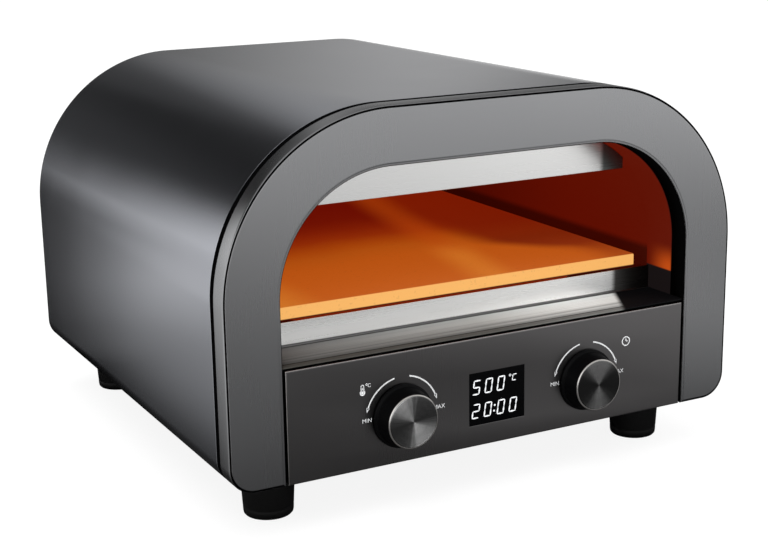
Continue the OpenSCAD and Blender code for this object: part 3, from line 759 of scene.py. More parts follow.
FINISHES = {
    "shell_coat": CoatedSteel((0.312, 0.320, 0.346), 0.18, (5, 1300, 5), streak=0.02),
    "frame_coat": CoatedSteel((0.236, 0.238, 0.244), 0.27, (900, 900, 6), streak=0.012),
    # the control panel's right end is 30% paler than its left: a painted highlight
    "panel_coat": CoatedSteel((0.121, 0.117, 0.118), 0.28, (1100, 1100, 7), depth=0.000001, streak=0.012,
                              right=1.3),
    "black_coat": CoatedSteel((0.0016, 0.0016, 0.0017), 0.6, (300, 300, 300), metallic=0.0, streak=0.2,
                              level=0.0),
    "display_black": GlossGlass(),
    "knob_black": SatinMoulding((0.002, 0.002, 0.0022), 0.3, grain=3200.0, depth=0.000004, level=0.04),
    "knob_metal": CoatedSteel((0.95, 0.95, 0.96), 0.2, (400, 400, 400)),
    "rear_coat": SatinMoulding((0.016, 0.016, 0.017), 0.42, grain=1100.0, depth=0.00007, level=0.5),
    "foot_black": SatinMoulding((0.004, 0.004, 0.004), 0.5, grain=1500.0, depth=0.00004),
    "panel_edge": CoatedSteel((0.56, 0.54, 0.52), 0.3, (400, 400, 400)),
    "sill_steel": SillSteel(),
    "mouth_steel": HotSteel(dark_below=0.1468, dark_before=-0.2005, pool=1.0),
    "chamber_steel": HotSteel(),
    "baking_stone": BakingStone(),
    "element_metal": GlowingTube(),
    "white_ceramic": SatinMoulding((0.80, 0.78, 0.72), 0.55, grain=700.0, depth=0.00006),
    "zinc_steel": CoatedSteel((0.62, 0.62, 0.60), 0.35, (500, 500, 500), streak=0.1),
    "ceramic_wool": Fibre(),
    "circuit_green": CircuitBoard(),
    "black_plastic": SatinMoulding((0.008, 0.008, 0.0085), 0.45, level=0.3),
    "white_plastic": SatinMoulding((0.76, 0.75, 0.70), 0.5, level=0.5),
    "relay_blue": SatinMoulding((0.03, 0.12, 0.42), 0.42, level=0.5),
    "core_yellow": SatinMoulding((0.66, 0.46, 0.08), 0.5, grain=900.0, level=0.5),
}


class Palette:
    """Makes each finish once, when it is first asked for."""

    def __init__(self) -> None:
        """Starts with nothing made."""
        self.made: dict[str, bpy.types.Material] = {}

    def get(self, name: str, finish: object | None = None) -> bpy.types.Material:
        """Gives a material.

        Args:
            name: its name, which is the record's slot unless a finish is given.
            finish: the finish that a named variant is made from.

        Returns:
            The material.
        """
        if name not in self.made:
            self.made[name] = (finish or FINISHES[name]).make(name)
        return self.made[name]


PALETTE = Palette()


# ---------------------------------------------------------------------------
# Mesh words
# ---------------------------------------------------------------------------


class Plane(Enum):
    """Planes that a wire is drawn in."""

    FRONT = ((1, 0, 0), (0, 0, 1))
    SIDE = ((0, 1, 0), (0, 0, 1))
    PLAN = ((1, 0, 0), (0, 1, 0))


class Pen:
    """Draws a wire by extruding and spinning its last vertex."""

    def __init__(self, plane: Plane, start: Point, depth: float = 0.0) -> None:
        """Puts the pen down.

        Args:
            plane: the plane of the drawing.
            start: first point in that plane.
            depth: the plane's place along its axis.
        """
        self.across, self.up = (Vector(axis) for axis in plane.value)
        self.normal = self.across.cross(self.up)
        self.base = Vector(abs(n) for n in self.normal) * depth
        self.bm = bmesh.new()
        self.tip = bmesh.ops.create_vert(self.bm, co=self.at(start))["vert"][0]

    def at(self, point: Point) -> Vector:
        """The place of a point of the drawing."""
        return self.base + self.across * point[0] + self.up * point[1]

    def line(self, *points: Point) -> Pen:
        """Draws straight to each point in turn.

        Args:
            points: where to.

        Returns:
            The pen.
        """
        for point in points:
            grown = bmesh.ops.extrude_vert_indiv(self.bm, verts=[self.tip])
            self.tip = grown["verts"][0]
            bmesh.ops.translate(self.bm, verts=[self.tip], vec=self.at(point) - self.tip.co)
        return self

    def arc(self, centre: Point, degrees: float, steps: int) -> Pen:
        """Draws an arc, anticlockwise for a positive angle.

        Args:
            centre: the arc's centre.
            degrees: the angle it turns through.
            steps: number of chords.

        Returns:
            The pen.
        """
        spun = bmesh.ops.spin(self.bm, geom=[self.tip], cent=self.at(centre), axis=self.normal,
                              angle=math.radians(degrees), steps=steps)
        self.tip = next(item for item in spun["geom_last"] if isinstance(item, bmesh.types.BMVert))
        return self

    def fill(self) -> bmesh.types.BMesh:
        """Closes the wire and fills it with one face that looks along the drawing's normal.

        Returns:
            The mesh.
        """
        bmesh.ops.remove_doubles(self.bm, verts=self.bm.verts, dist=MERGE_WITHIN)
        ends = [v for v in self.bm.verts if len(v.link_edges) == 1]
        if ends:
            bmesh.ops.contextual_create(self.bm, geom=ends)
        bmesh.ops.contextual_create(self.bm, geom=self.bm.edges[:])
        self.bm.faces.ensure_lookup_table()
        self.bm.normal_update()
        if self.bm.faces[0].normal.dot(self.normal) < 0:
            bmesh.ops.reverse_faces(self.bm, faces=self.bm.faces[:])
        return self.bm


def pull(bm: bmesh.types.BMesh, edges: Sequence[bmesh.types.BMEdge], way: Place) -> list[bmesh.types.BMEdge]:
    """Extrudes edges into a wall.

    Args:
        bm: the mesh.
        edges: the edges to extrude.
        way: how far and where to.

    Returns:
        The wall's far edges.
    """
    grown = bmesh.ops.extrude_edge_only(bm, edges=list(edges))["geom"]
    bmesh.ops.translate(bm, verts=[g for g in grown if isinstance(g, bmesh.types.BMVert)], vec=way)
    return [g for g in grown if isinstance(g, bmesh.types.BMEdge)]


def step(bm: bmesh.types.BMesh, faces: Sequence[bmesh.types.BMFace], width: float,
         rise: float) -> list[bmesh.types.BMFace]:
    """Insets faces as one region by a width, raises them along their normal and gives the new ring."""
    return bmesh.ops.inset_region(bm, faces=list(faces), thickness=width, depth=rise, use_boundary=True,
                                  use_even_offset=True)["faces"]


def plate(bm: bmesh.types.BMesh, depth: float, wall: float, floor: float) -> None:
    """Gives a flat front face walls rearwards and a pocket from behind.

    Args:
        bm: mesh with one face that looks forwards.
        depth: length of the walls.
        wall: thickness of the walls, or 0 for a closed back.
        floor: thickness left behind the face.
    """
    rim = [e for e in bm.edges if e.is_boundary]
    far = pull(bm, rim, (0, depth, 0))
    back = bmesh.ops.contextual_create(bm, geom=far)["faces"]
    bm.normal_update()
    if back[0].normal.y < 0:
        bmesh.ops.reverse_faces(bm, faces=back)
    if wall:
        step(bm, back, wall, 0.0)
        step(bm, back, 0.01, floor - depth)


def lathe(profile: Sequence[Point], place: Place, steps: int, plane: Plane = Plane.PLAN) -> bmesh.types.BMesh:
    """Turns a profile.

    Args:
        profile: radius and distance along the axis of each point.
        place: where the axis's zero goes.
        steps: number of sides.
        plane: plane of the profile, whose second direction is the axis.

    Returns:
        The turned mesh.
    """
    pen = Pen(plane, profile[0]).line(*profile[1:])
    bm = pen.bm
    bmesh.ops.spin(bm, geom=bm.verts[:] + bm.edges[:], cent=(0, 0, 0), axis=pen.up, angle=math.tau,
                   steps=steps, use_merge=True)
    bmesh.ops.remove_doubles(bm, verts=bm.verts, dist=MERGE_WITHIN)
    bmesh.ops.recalc_face_normals(bm, faces=bm.faces[:])
    bmesh.ops.translate(bm, verts=bm.verts, vec=place)
    return bm


def block(low: Place, high: Place) -> bmesh.types.BMesh:
    """A block between two corners, ready for its bevel.

    Args:
        low: its lowest corner.
        high: its highest corner.

    Returns:
        The mesh.
    """
    bm = bmesh.new()
    size = Vector(high) - Vector(low)
    bmesh.ops.create_cube(bm, size=1.0, matrix=Matrix.Translation((Vector(high) + Vector(low)) / 2)
                          @ Matrix.Diagonal((*size, 1.0)))
    return bm


def joined(parts: Sequence[bmesh.types.BMesh]) -> bmesh.types.BMesh:
    """Puts several meshes into the first one.

    Args:
        parts: the meshes; all but the first are freed.

    Returns:
        The first mesh.
    """
    whole = parts[0]
    for part in parts[1:]:
        mesh = bpy.data.meshes.new("part")
        part.to_mesh(mesh)
        part.free()
        whole.from_mesh(mesh)
        bpy.data.meshes.remove(mesh)
    return whole


def facing(bm: bmesh.types.BMesh, centre: Place, outwards: bool = True) -> bmesh.types.BMesh:
    """Turns an open sheet's faces away from a centre, or towards it.

    Args:
        bm: the sheet.
        centre: the point.
        outwards: whether the faces look away from it.

    Returns:
        The sheet.
    """
    bmesh.ops.recalc_face_normals(bm, faces=bm.faces[:])
    bm.normal_update()
    votes = sum(f.calc_area() * f.normal.dot(f.calc_center_median() - Vector(centre)) for f in bm.faces)
    if (votes > 0) != outwards:
        bmesh.ops.reverse_faces(bm, faces=bm.faces[:])
    return bm


@dataclass
class Delivery:
    """How a mesh becomes a piece of the model."""

    slot: str
    body: str = "oven"
    replaces: tuple[str, ...] = ()
    thickness: float = 0.0
    bevel: float = 0.0
    segments: int = 3
    material: bpy.types.Material | None = None

    def piece(self, bm: bmesh.types.BMesh, name: str, place: Matrix = TO_ROW) -> bpy.types.Object:
        """Makes the object, dresses it and puts it on its body.

        Args:
            bm: the mesh.
            name: the piece's name.
            place: from the mesh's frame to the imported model's.

        Returns:
            The piece.
        """
        bmesh.ops.transform(bm, matrix=place, verts=bm.verts[:])
        mesh = bpy.data.meshes.new(name)
        bm.to_mesh(mesh)
        bm.free()
        mesh.shade_smooth()
        mesh.set_sharp_from_angle(angle=SHARP_FROM)
        piece = bpy.data.objects.new(name, mesh)
        bpy.context.scene.collection.objects.link(piece)
        if self.thickness:
            wall = piece.modifiers.new("sheet", "SOLIDIFY")
            wall.thickness = self.thickness * MM
            wall.offset = -1.0
            wall.use_even_offset = True
        if self.bevel:
            edge = piece.modifiers.new("edge", "BEVEL")
            edge.width = self.bevel * MM
            edge.segments = self.segments
            edge.limit_method = "ANGLE"
            edge.angle_limit = BEVEL_FROM
            edge.harden_normals = True
        mesh.materials.append(self.material or PALETTE.get(self.slot))
        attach(piece, self.body)
        if self.replaces:
            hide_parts(*self.replaces)
        LOG.info("%s on %s, %s", name, self.body, self.slot)
        return piece


# ---------------------------------------------------------------------------
# Studio
# ---------------------------------------------------------------------------


@dataclass
class Studio:
    """Camera, plain light, floor, and the world's ring of soft boxes that the metal mirrors."""

    azimuth: float = -27.8653
    elevation: float = 14.3892
    roll: float = -0.9507
    distance: float = 1.3159
    target: tuple[float, float, float] = (0.01003, -0.017, 0.12768)
    lens: float = 71.168
    floor_radius: float = 60.0
    case_half: float = 0.22
    case_face: float = 0.217
    soft_boxes: tuple[Point, ...] = (
        (-180, 0.62), (-150, 0.75), (-120, 1.0), (-95, 0.85), (-60, 0.8), (-30, 1.0), (-26, 1.0),
        (-24, 0.84), (-22, 0.46), (-20.5, 0.18), (-19, 0.04), (-16, 0.015), (-8, 0.045), (6, 0.05),
        (15, 0.05), (20, 0.05), (24, 0.07), (28, 0.19), (32, 0.33), (36, 0.46), (39, 0.33), (43, 0.09),
        (52, 0.16), (75, 0.28), (95, 0.42), (120, 0.62), (180, 0.62))
    box_heights: tuple[Point, ...] = (
        (-180, 1.0), (-110, 1.0), (-80, 0.0), (-2, 0.0), (5, 1.0), (180, 1.0))
    side_floor: tuple[Point, ...] = (
        (0.0, 0.03), (0.02, 0.035), (0.056, 0.08), (0.082, 0.24), (0.115, 0.38), (0.16, 0.46), (0.2, 0.53),
        (0.232, 0.65), (0.4, 1.0))
    side_gap: tuple[Point, ...] = (
        (-0.38, 1.0), (-0.34, 1.0), (-0.315, 0.83), (-0.296, 0.47), (-0.275, 0.25), (-0.26, 0.15),
        (-0.246, 0.07), (-0.223, 0.02), (0.0, 0.02), (0.15, 0.1), (0.3, 0.6), (0.5, 0.8))
    front_floor: tuple[Point, ...] = (
        (0.0, 0.1), (0.13, 0.16), (0.2, 0.235), (0.3, 0.27), (0.41, 0.285), (0.55, 0.36), (0.7, 0.385),
        (0.9, 0.45), (1.17, 0.44), (1.6, 0.74), (2.2, 0.95))
    front_sides: tuple[Point, ...] = (
        (-0.12, 0.6), (-0.04, 0.54), (0.1, 0.63), (0.25, 0.93), (0.4, 1.0), (0.6, 0.88), (0.8, 0.5),
        (1.05, 0.8), (1.3, 1.03))
    seen_floor: tuple[Point, ...] = ((0.0, 0.885), (0.9, 0.91), (3.0, 1.0))
    seen_reach: float = 6.0
    floor_grey: float = 0.9
    shadow_grey: float = 0.14
    side_strength: float = 1.45
    front_strength: float = 1.9
    patch_strength: float = 0.26
    box_top: float = 23.0
    box_strength: float = 2.0
    ceiling_from: tuple[float, float] = (25.0, 50.0)
    ceiling_strength: float = 0.8
    mirrored_dark: float = 0.034
    plain_grey: float = 0.55
    lamps: tuple[tuple[str, Place, Place, float, float], ...] = (
        ("key", (-1.2, -1.2, 2.4), (0, 0, 0.15), 1.4, 40.0),
        ("fill", (1.8, -1.2, 1.6), (0, 0, 0.15), 1.6, 24.0),
        ("top", (0.1, 0.6, 2.4), (0, 0, 0.2), 1.8, 34.0))

    def camera(self) -> None:
        """Sets the camera at the photograph's angle."""
        az, el, roll = (math.radians(a) for a in (self.azimuth, self.elevation, self.roll))
        back = Vector((math.sin(az) * math.cos(el), -math.cos(az) * math.cos(el), math.sin(el)))
        level = Vector((math.cos(az), math.sin(az), 0.0))
        above = back.cross(level)
        right = level * math.cos(roll) + above * math.sin(roll)
        up = above * math.cos(roll) - level * math.sin(roll)
        data = bpy.data.cameras.new("view")
        data.lens = self.lens
        data.sensor_width = 36.0
        data.clip_end = 100.0
        view = bpy.data.objects.new("view", data)
        turn = Matrix((right, up, back)).transposed().to_4x4()
        view.matrix_world = Matrix.Translation(Vector(self.target) + back * self.distance) @ turn
        bpy.context.scene.collection.objects.link(view)
        bpy.context.scene.camera = view

    def world(self) -> None:
        """White background, and for reflections a ring of soft boxes with dark gaps between them."""
        world = bpy.data.worlds.new("studio")
        bpy.context.scene.world = world
        world.use_nodes = True
        bench = NodeBench(world.node_tree)
        way = bench.node("ShaderNodeTexCoord").outputs["Generated"]
        across, rear, up = bench.axes(way)
        turn = bench.math("ARCTAN2", across, rear) * (1 / math.tau) + 0.5
        rise = bench.math("ARCSINE", up) * (180 / math.pi)
        slant = turn.band(0.472, 0.506) * 0.55 + 0.25
        boxes, heights = (self.greys(table, -180, 180) for table in (self.soft_boxes, self.box_heights))
        ring = Signal(bench, bench.ramp(turn + rise * slant / 360, boxes))
        lift = Signal(bench, bench.ramp(turn, heights))
        fade = ((lift * self.box_top + self.box_top - rise) / (lift * 8.0 + 12.0)).band(0.0, 1.0)
        ceiling = rise.band(*self.ceiling_from) * self.ceiling_strength
        mirrored = ring * fade * self.box_strength + ceiling + self.mirrored_dark
        path = bench.node("ShaderNodeLightPath").outputs
        grey = bench.mix(Signal(bench, path["Is Glossy Ray"]), (self.plain_grey,) * 3, mirrored.socket)
        seen, through = (Signal(bench, path[ray]) for ray in ("Is Camera Ray", "Is Transmission Ray"))
        white = bench.math("MAXIMUM", seen, through)
        sky = bench.node("ShaderNodeBackground", inputs={"Color": bench.mix(white, grey, (1.0, 1.0, 1.0))})
        bench.node("ShaderNodeOutputWorld", inputs={0: sky.outputs[0]})

    def floor(self) -> None:
        """Lays the floor that the case stands on."""
        bm = bmesh.new()
        bmesh.ops.create_circle(bm, cap_ends=True, segments=64, radius=self.floor_radius)
        mesh = bpy.data.meshes.new("floor")
        bm.to_mesh(mesh)
        bm.free()
        mesh.materials.append(self.paint())
        floor = bpy.data.objects.new("floor", mesh)
        bpy.context.scene.collection.objects.link(floor)

    def paint(self) -> bpy.types.Material:
        """Makes the floor's finish: pale, with the shadow on it, and in reflections darker near the case.

        Returns:
            The material.
        """
        material = bpy.data.materials.new("floor")
        material.use_nodes = True
        bench = NodeBench(material.node_tree)
        x, y, _ = bench.axes(bench.place())
        beside = bench.math("MAXIMUM", bench.math("ABSOLUTE", x) - self.case_half, 0.0)
        before = bench.math("MAXIMUM", bench.math("ABSOLUTE", y) - self.case_face, 0.0)
        away = bench.math("SQRT", beside * beside + before * before)
        near_side = self.level(away, self.side_floor, 0.0, 0.5)
        slope = (x - 0.146) / (y + 1.144) + bench.math("MINIMUM", y, 1.5) * 0.045
        gap = self.level(slope, self.side_gap, -0.5, 0.5)
        near_front = self.level(away, self.front_floor, 0.0, 2.5)
        beam = self.level(x, self.front_sides, -0.2, 1.4)
        front = (-0.2 - y - beside * 0.6).band(-0.02, 0.06)
        patch = x.band(0.2, 0.38) * x.band(0.6, 0.46) * away.band(0.3, 0.38) * away.band(0.6, 0.46)
        ahead = (near_front * beam * self.front_strength + patch * self.patch_strength) * front
        mirrored = ahead + near_side * gap * self.side_strength * (1 - front)
        path = bench.node("ShaderNodeLightPath").outputs
        far = bench.math("SQRT", x * x + y * y)
        white = bench.ramp(far / self.seen_reach, self.greys(self.seen_floor, 0.0, self.seen_reach))
        paint = bench.node("ShaderNodeBsdfDiffuse", inputs={"Color": (self.floor_grey,) * 3})
        shown = bench.node("ShaderNodeBsdfDiffuse", inputs={"Color": (self.shadow_grey,) * 3})
        light = bench.node("ShaderNodeEmission", inputs={"Color": white, "Strength": 1.0})
        both = bench.node("ShaderNodeAddShader", inputs={0: shown.outputs[0], 1: light.outputs[0]})
        image = bench.node("ShaderNodeEmission", inputs={"Color": mirrored.socket, "Strength": 1.0})
        surface = paint
        for ray, other in (("Is Camera Ray", both), ("Is Glossy Ray", image)):
            ends = {0: path[ray], 1: surface.outputs[0], 2: other.outputs[0]}
            surface = bench.node("ShaderNodeMixShader", inputs=ends)
        bench.node("ShaderNodeOutputMaterial", inputs={0: surface.outputs[0]})
        return material

    @staticmethod
    def greys(table: Sequence[Point], low: float, high: float) -> Stops:
        """Turns values and their grey levels into the stops of a ramp from low to high."""
        return tuple(((value - low) / (high - low), (grey, grey, grey)) for value, grey in table)

    def level(self, value: Signal, table: Sequence[Point], low: float, high: float) -> Signal:
        """Looks a value up in a table of grey levels that runs from low to high."""
        share = (value - low) / (high - low)
        return Signal(value.nodes, value.nodes.ramp(share, self.greys(table, low, high)))

    def lamp(self, name: str, place: Place, aim: Place, size: float, power: float) -> None:
        """Hangs a soft square lamp that neither the camera nor gloss shows.

        Args:
            name: the lamp's name.
            place: where it hangs.
            aim: the point it looks at.
            size: its side.
            power: its power in watts.
        """
        data = bpy.data.lights.new(name, "AREA")
        data.size = size
        data.energy = power
        lamp = bpy.data.objects.new(name, data)
        lamp.location = place
        lamp.rotation_euler = (Vector(aim) - Vector(place)).to_track_quat("-Z", "Y").to_euler()
        lamp.visible_camera = False
        lamp.visible_glossy = False
        bpy.context.scene.collection.objects.link(lamp)

    def build(self) -> None:
        """Sets the whole studio."""
        bpy.context.scene.view_settings.view_transform = "Standard"
        self.camera()
        self.world()
        self.floor()
        for lamp in self.lamps:
            self.lamp(*lamp)
        LOG.info("studio ready")


# ---------------------------------------------------------------------------
# Case
# ---------------------------------------------------------------------------


@dataclass
class Arch:
    """The case's arched outline and the mouth's."""

    half: float = 220.0
    height: float = 266.0
    arch_r: float = 132.0
    corner_r: float = 20.0
    band: float = 43.0
    steps: int = 48
    corner_steps: int = 14

    def over(self, pen: Pen, inset: float, low: float) -> Pen:
        """Carries a wire from the left side at a height over the arch to the right side.

        Args:
            pen: a pen at the left side.
            inset: distance inside the case's outline.
            low: height of the right end.

        Returns:
            The pen.
        """
        half, top, r = self.half - inset, self.height - inset, self.arch_r - inset
        pen.line((-half, top - r)).arc((-half + r, top - r), -90, self.steps).line((half - r, top))
        return pen.arc((half - r, top - r), -90, self.steps).line((half, low))

    def within(self, x: float, z: float, inset: float) -> bool:
        """Tells whether a point lies inside the case's outline drawn inwards by inset.

        Args:
            x: the point's place across.
            z: its height.
            inset: distance inside the outline.

        Returns:
            True inside it.
        """
        half, top, r = self.half - inset, self.height - inset, self.arch_r - inset
        if abs(x) > half - r and z > top - r:
            return math.hypot(abs(x) - half + r, z - top + r) < r
        return abs(x) < half and z < top

    def case_face(self, inset: float, depth: float) -> bmesh.types.BMesh:
        """One face with the case's closed outline.

        Args:
            inset: how far inside the outline it is drawn.
            depth: its place rearwards.

        Returns:
            The mesh.
        """
        half, r = self.half - inset, self.corner_r - inset
        pen = Pen(Plane.FRONT, (-half + r, inset), depth).arc((-half + r, inset + r), -90, self.corner_steps)
        self.over(pen, inset, inset + r).arc((half - r, inset + r), -90, self.corner_steps)
        return pen.fill()

    def band_face(self, depth: float) -> bmesh.types.BMesh:
        """One face with the front frame's outline: the band over the mouth and its two legs.

        Args:
            depth: its place rearwards.

        Returns:
            The mesh.
        """
        inner, r, steps = self.half - self.band, self.corner_r, self.corner_steps
        pen = Pen(Plane.FRONT, (-inner, 0), depth).line((-self.half + r, 0))
        pen.arc((-self.half + r, r), -90, steps)
        self.over(pen, 0, r).arc((self.half - r, r), -90, steps).line((inner, 0))
        top, bend = self.height - self.band, self.arch_r - self.band
        pen.line((inner, top - bend)).arc((inner - bend, top - bend), 90, self.steps)
        pen.line((-inner + bend, top))
        pen.arc((-inner + bend, top - bend), 90, self.steps)
        return pen.fill()

    def mouth_wire(self, grow: float, low: float, depth: float) -> Pen:
        """The mouth's open outline from its left foot to its right foot, drawn outwards by grow."""
        pen = Pen(Plane.FRONT, (-(self.half - self.band + grow), low), depth)
        return self.over(pen, self.band - grow, low)


@dataclass
class Case:
    """Outer shell, front frame and the black lining of the mouth's front edge."""

    arch: Arch
    frame_depth: float = 17.0
    seam: float = 4.0
    depth: float = 447.0
    sheet: float = 1.2
    set_back: float = 2.2
    hem: float = 0.8
    lip: float = 8.0
    lip_steps: int = 16
    flange: float = 13.4
    frame_wall: float = 1.5
    frame_sheet: float = 2.0
    rolled_edge: tuple[Point, ...] = ((0.08, 0.65), (0.15, 0.55), (0.2, 0.35), (0.12, 0.1))
    groove: float = 1.3
    shallow_groove: float = 0.32
    groove_shallows: float = 3.0
    face_edge: tuple[Point, ...] = ((0.15, 0.22), (0.25, 0.08), (0.3, 0.0))
    lining_start: float = 0.9
    clearance: float = 0.12

    def shell(self) -> None:
        """Bends the shell from one sheet, with a lip under each side."""
        arch = self.arch
        start = self.frame_depth + self.seam + self.set_back
        left, r = -(arch.half - arch.corner_r), arch.corner_r
        pen = Pen(Plane.FRONT, (left + self.lip, 0), start).line((left, 0))
        pen.arc((left, r), -90, self.lip_steps)
        arch.over(pen, 0, r).arc((-left, r), -90, self.lip_steps).line((-left - self.lip, 0))
        far = pen.bm.edges[:]
        for length in (self.hem, self.depth - start - 2 * self.hem, self.hem):
            far = pull(pen.bm, far, (0, length, 0))
        facing(pen.bm, (0, self.depth / 2, arch.height / 2))
        skin = Delivery("shell_coat", replaces=("outer_shell",), thickness=self.sheet, bevel=0.6)
        skin.piece(pen.bm, "shell_skin")
        ring = arch.case_face(self.sheet / 2, self.depth - 2 * self.sheet)
        step(ring, ring.faces[:], self.flange, 0.0)
        inner = max(ring.faces, key=lambda f: len(f.edges))
        bmesh.ops.delete(ring, geom=[inner], context="FACES_ONLY")
        Delivery("shell_coat", thickness=self.sheet, bevel=0.2).piece(ring, "shell_flange")

    def front(self) -> None:
        """Shapes the frame: a rounded side band, a fine groove whose deep part is painted black as shade, and
        the flat face, hollow behind.
        """
        bm = self.arch.band_face(self.frame_sheet)
        face = bm.faces[:]
        plate(bm, self.frame_depth - self.frame_sheet - 0.4, self.frame_wall, self.frame_sheet)
        for width, rise in self.rolled_edge:
            step(bm, face, width, rise)
        groove = []
        for width, rise in ((0.04, -self.groove), (self.groove, 0.0), (0.04, self.groove + 0.05)):
            groove += step(bm, face, width, rise)
        # groove faces along the outer edge take the black coat, painted shade in the groove; along the mouth
        # the groove is shallow and keeps the frame's coat
        limit = self.arch.band - self.groove_shallows
        for ring_face in groove:
            middle = ring_face.calc_center_median()
            ring_face.material_index = int(not self.arch.within(middle.x, middle.z, limit))
        for vert in {v for f in groove for v in f.verts if v.co.y > 1.0}:
            if self.arch.within(vert.co.x, vert.co.z, limit):
                bmesh.ops.translate(bm, verts=[vert], vec=(0, self.shallow_groove - vert.co.y, 0))
        for width, rise in self.face_edge:
            step(bm, face, width, rise)
        delivery = Delivery("frame_coat", replaces=("front_frame",), bevel=0.08, segments=2)
        piece = delivery.piece(bm, "frame_front")
        # second material: the black coat that paints shade into the groove
        piece.data.materials.append(PALETTE.get("black_coat"))
        pen = self.arch.mouth_wire(-self.clearance, 0.0, self.lining_start)
        pull(pen.bm, pen.bm.edges[:], (0, self.frame_depth + 0.2, 0))
        facing(pen.bm, (0, 9, 100), outwards=False)
        Delivery("black_coat", thickness=0.1).piece(pen.bm, "frame_return")

    def gasket(self) -> None:
        """Lays the black strip that fills the seam between the frame and the shell: a seal, and painted shade
        of the gap.
        """
        bm = self.arch.case_face(self.clearance, self.frame_depth - 0.3)
        edges = bm.edges[:]
        bmesh.ops.delete(bm, geom=bm.faces[:], context="FACES_ONLY")
        pull(bm, edges, (0, self.seam + 3.0, 0))
        facing(bm, (0, 19, 130))
        Delivery("black_coat", thickness=0.9).piece(bm, "seam_gasket")

    def build(self) -> None:
        """Builds the case's visible sheets."""
        self.shell()
        self.front()
        self.gasket()


# ---------------------------------------------------------------------------
# Controls
# ---------------------------------------------------------------------------


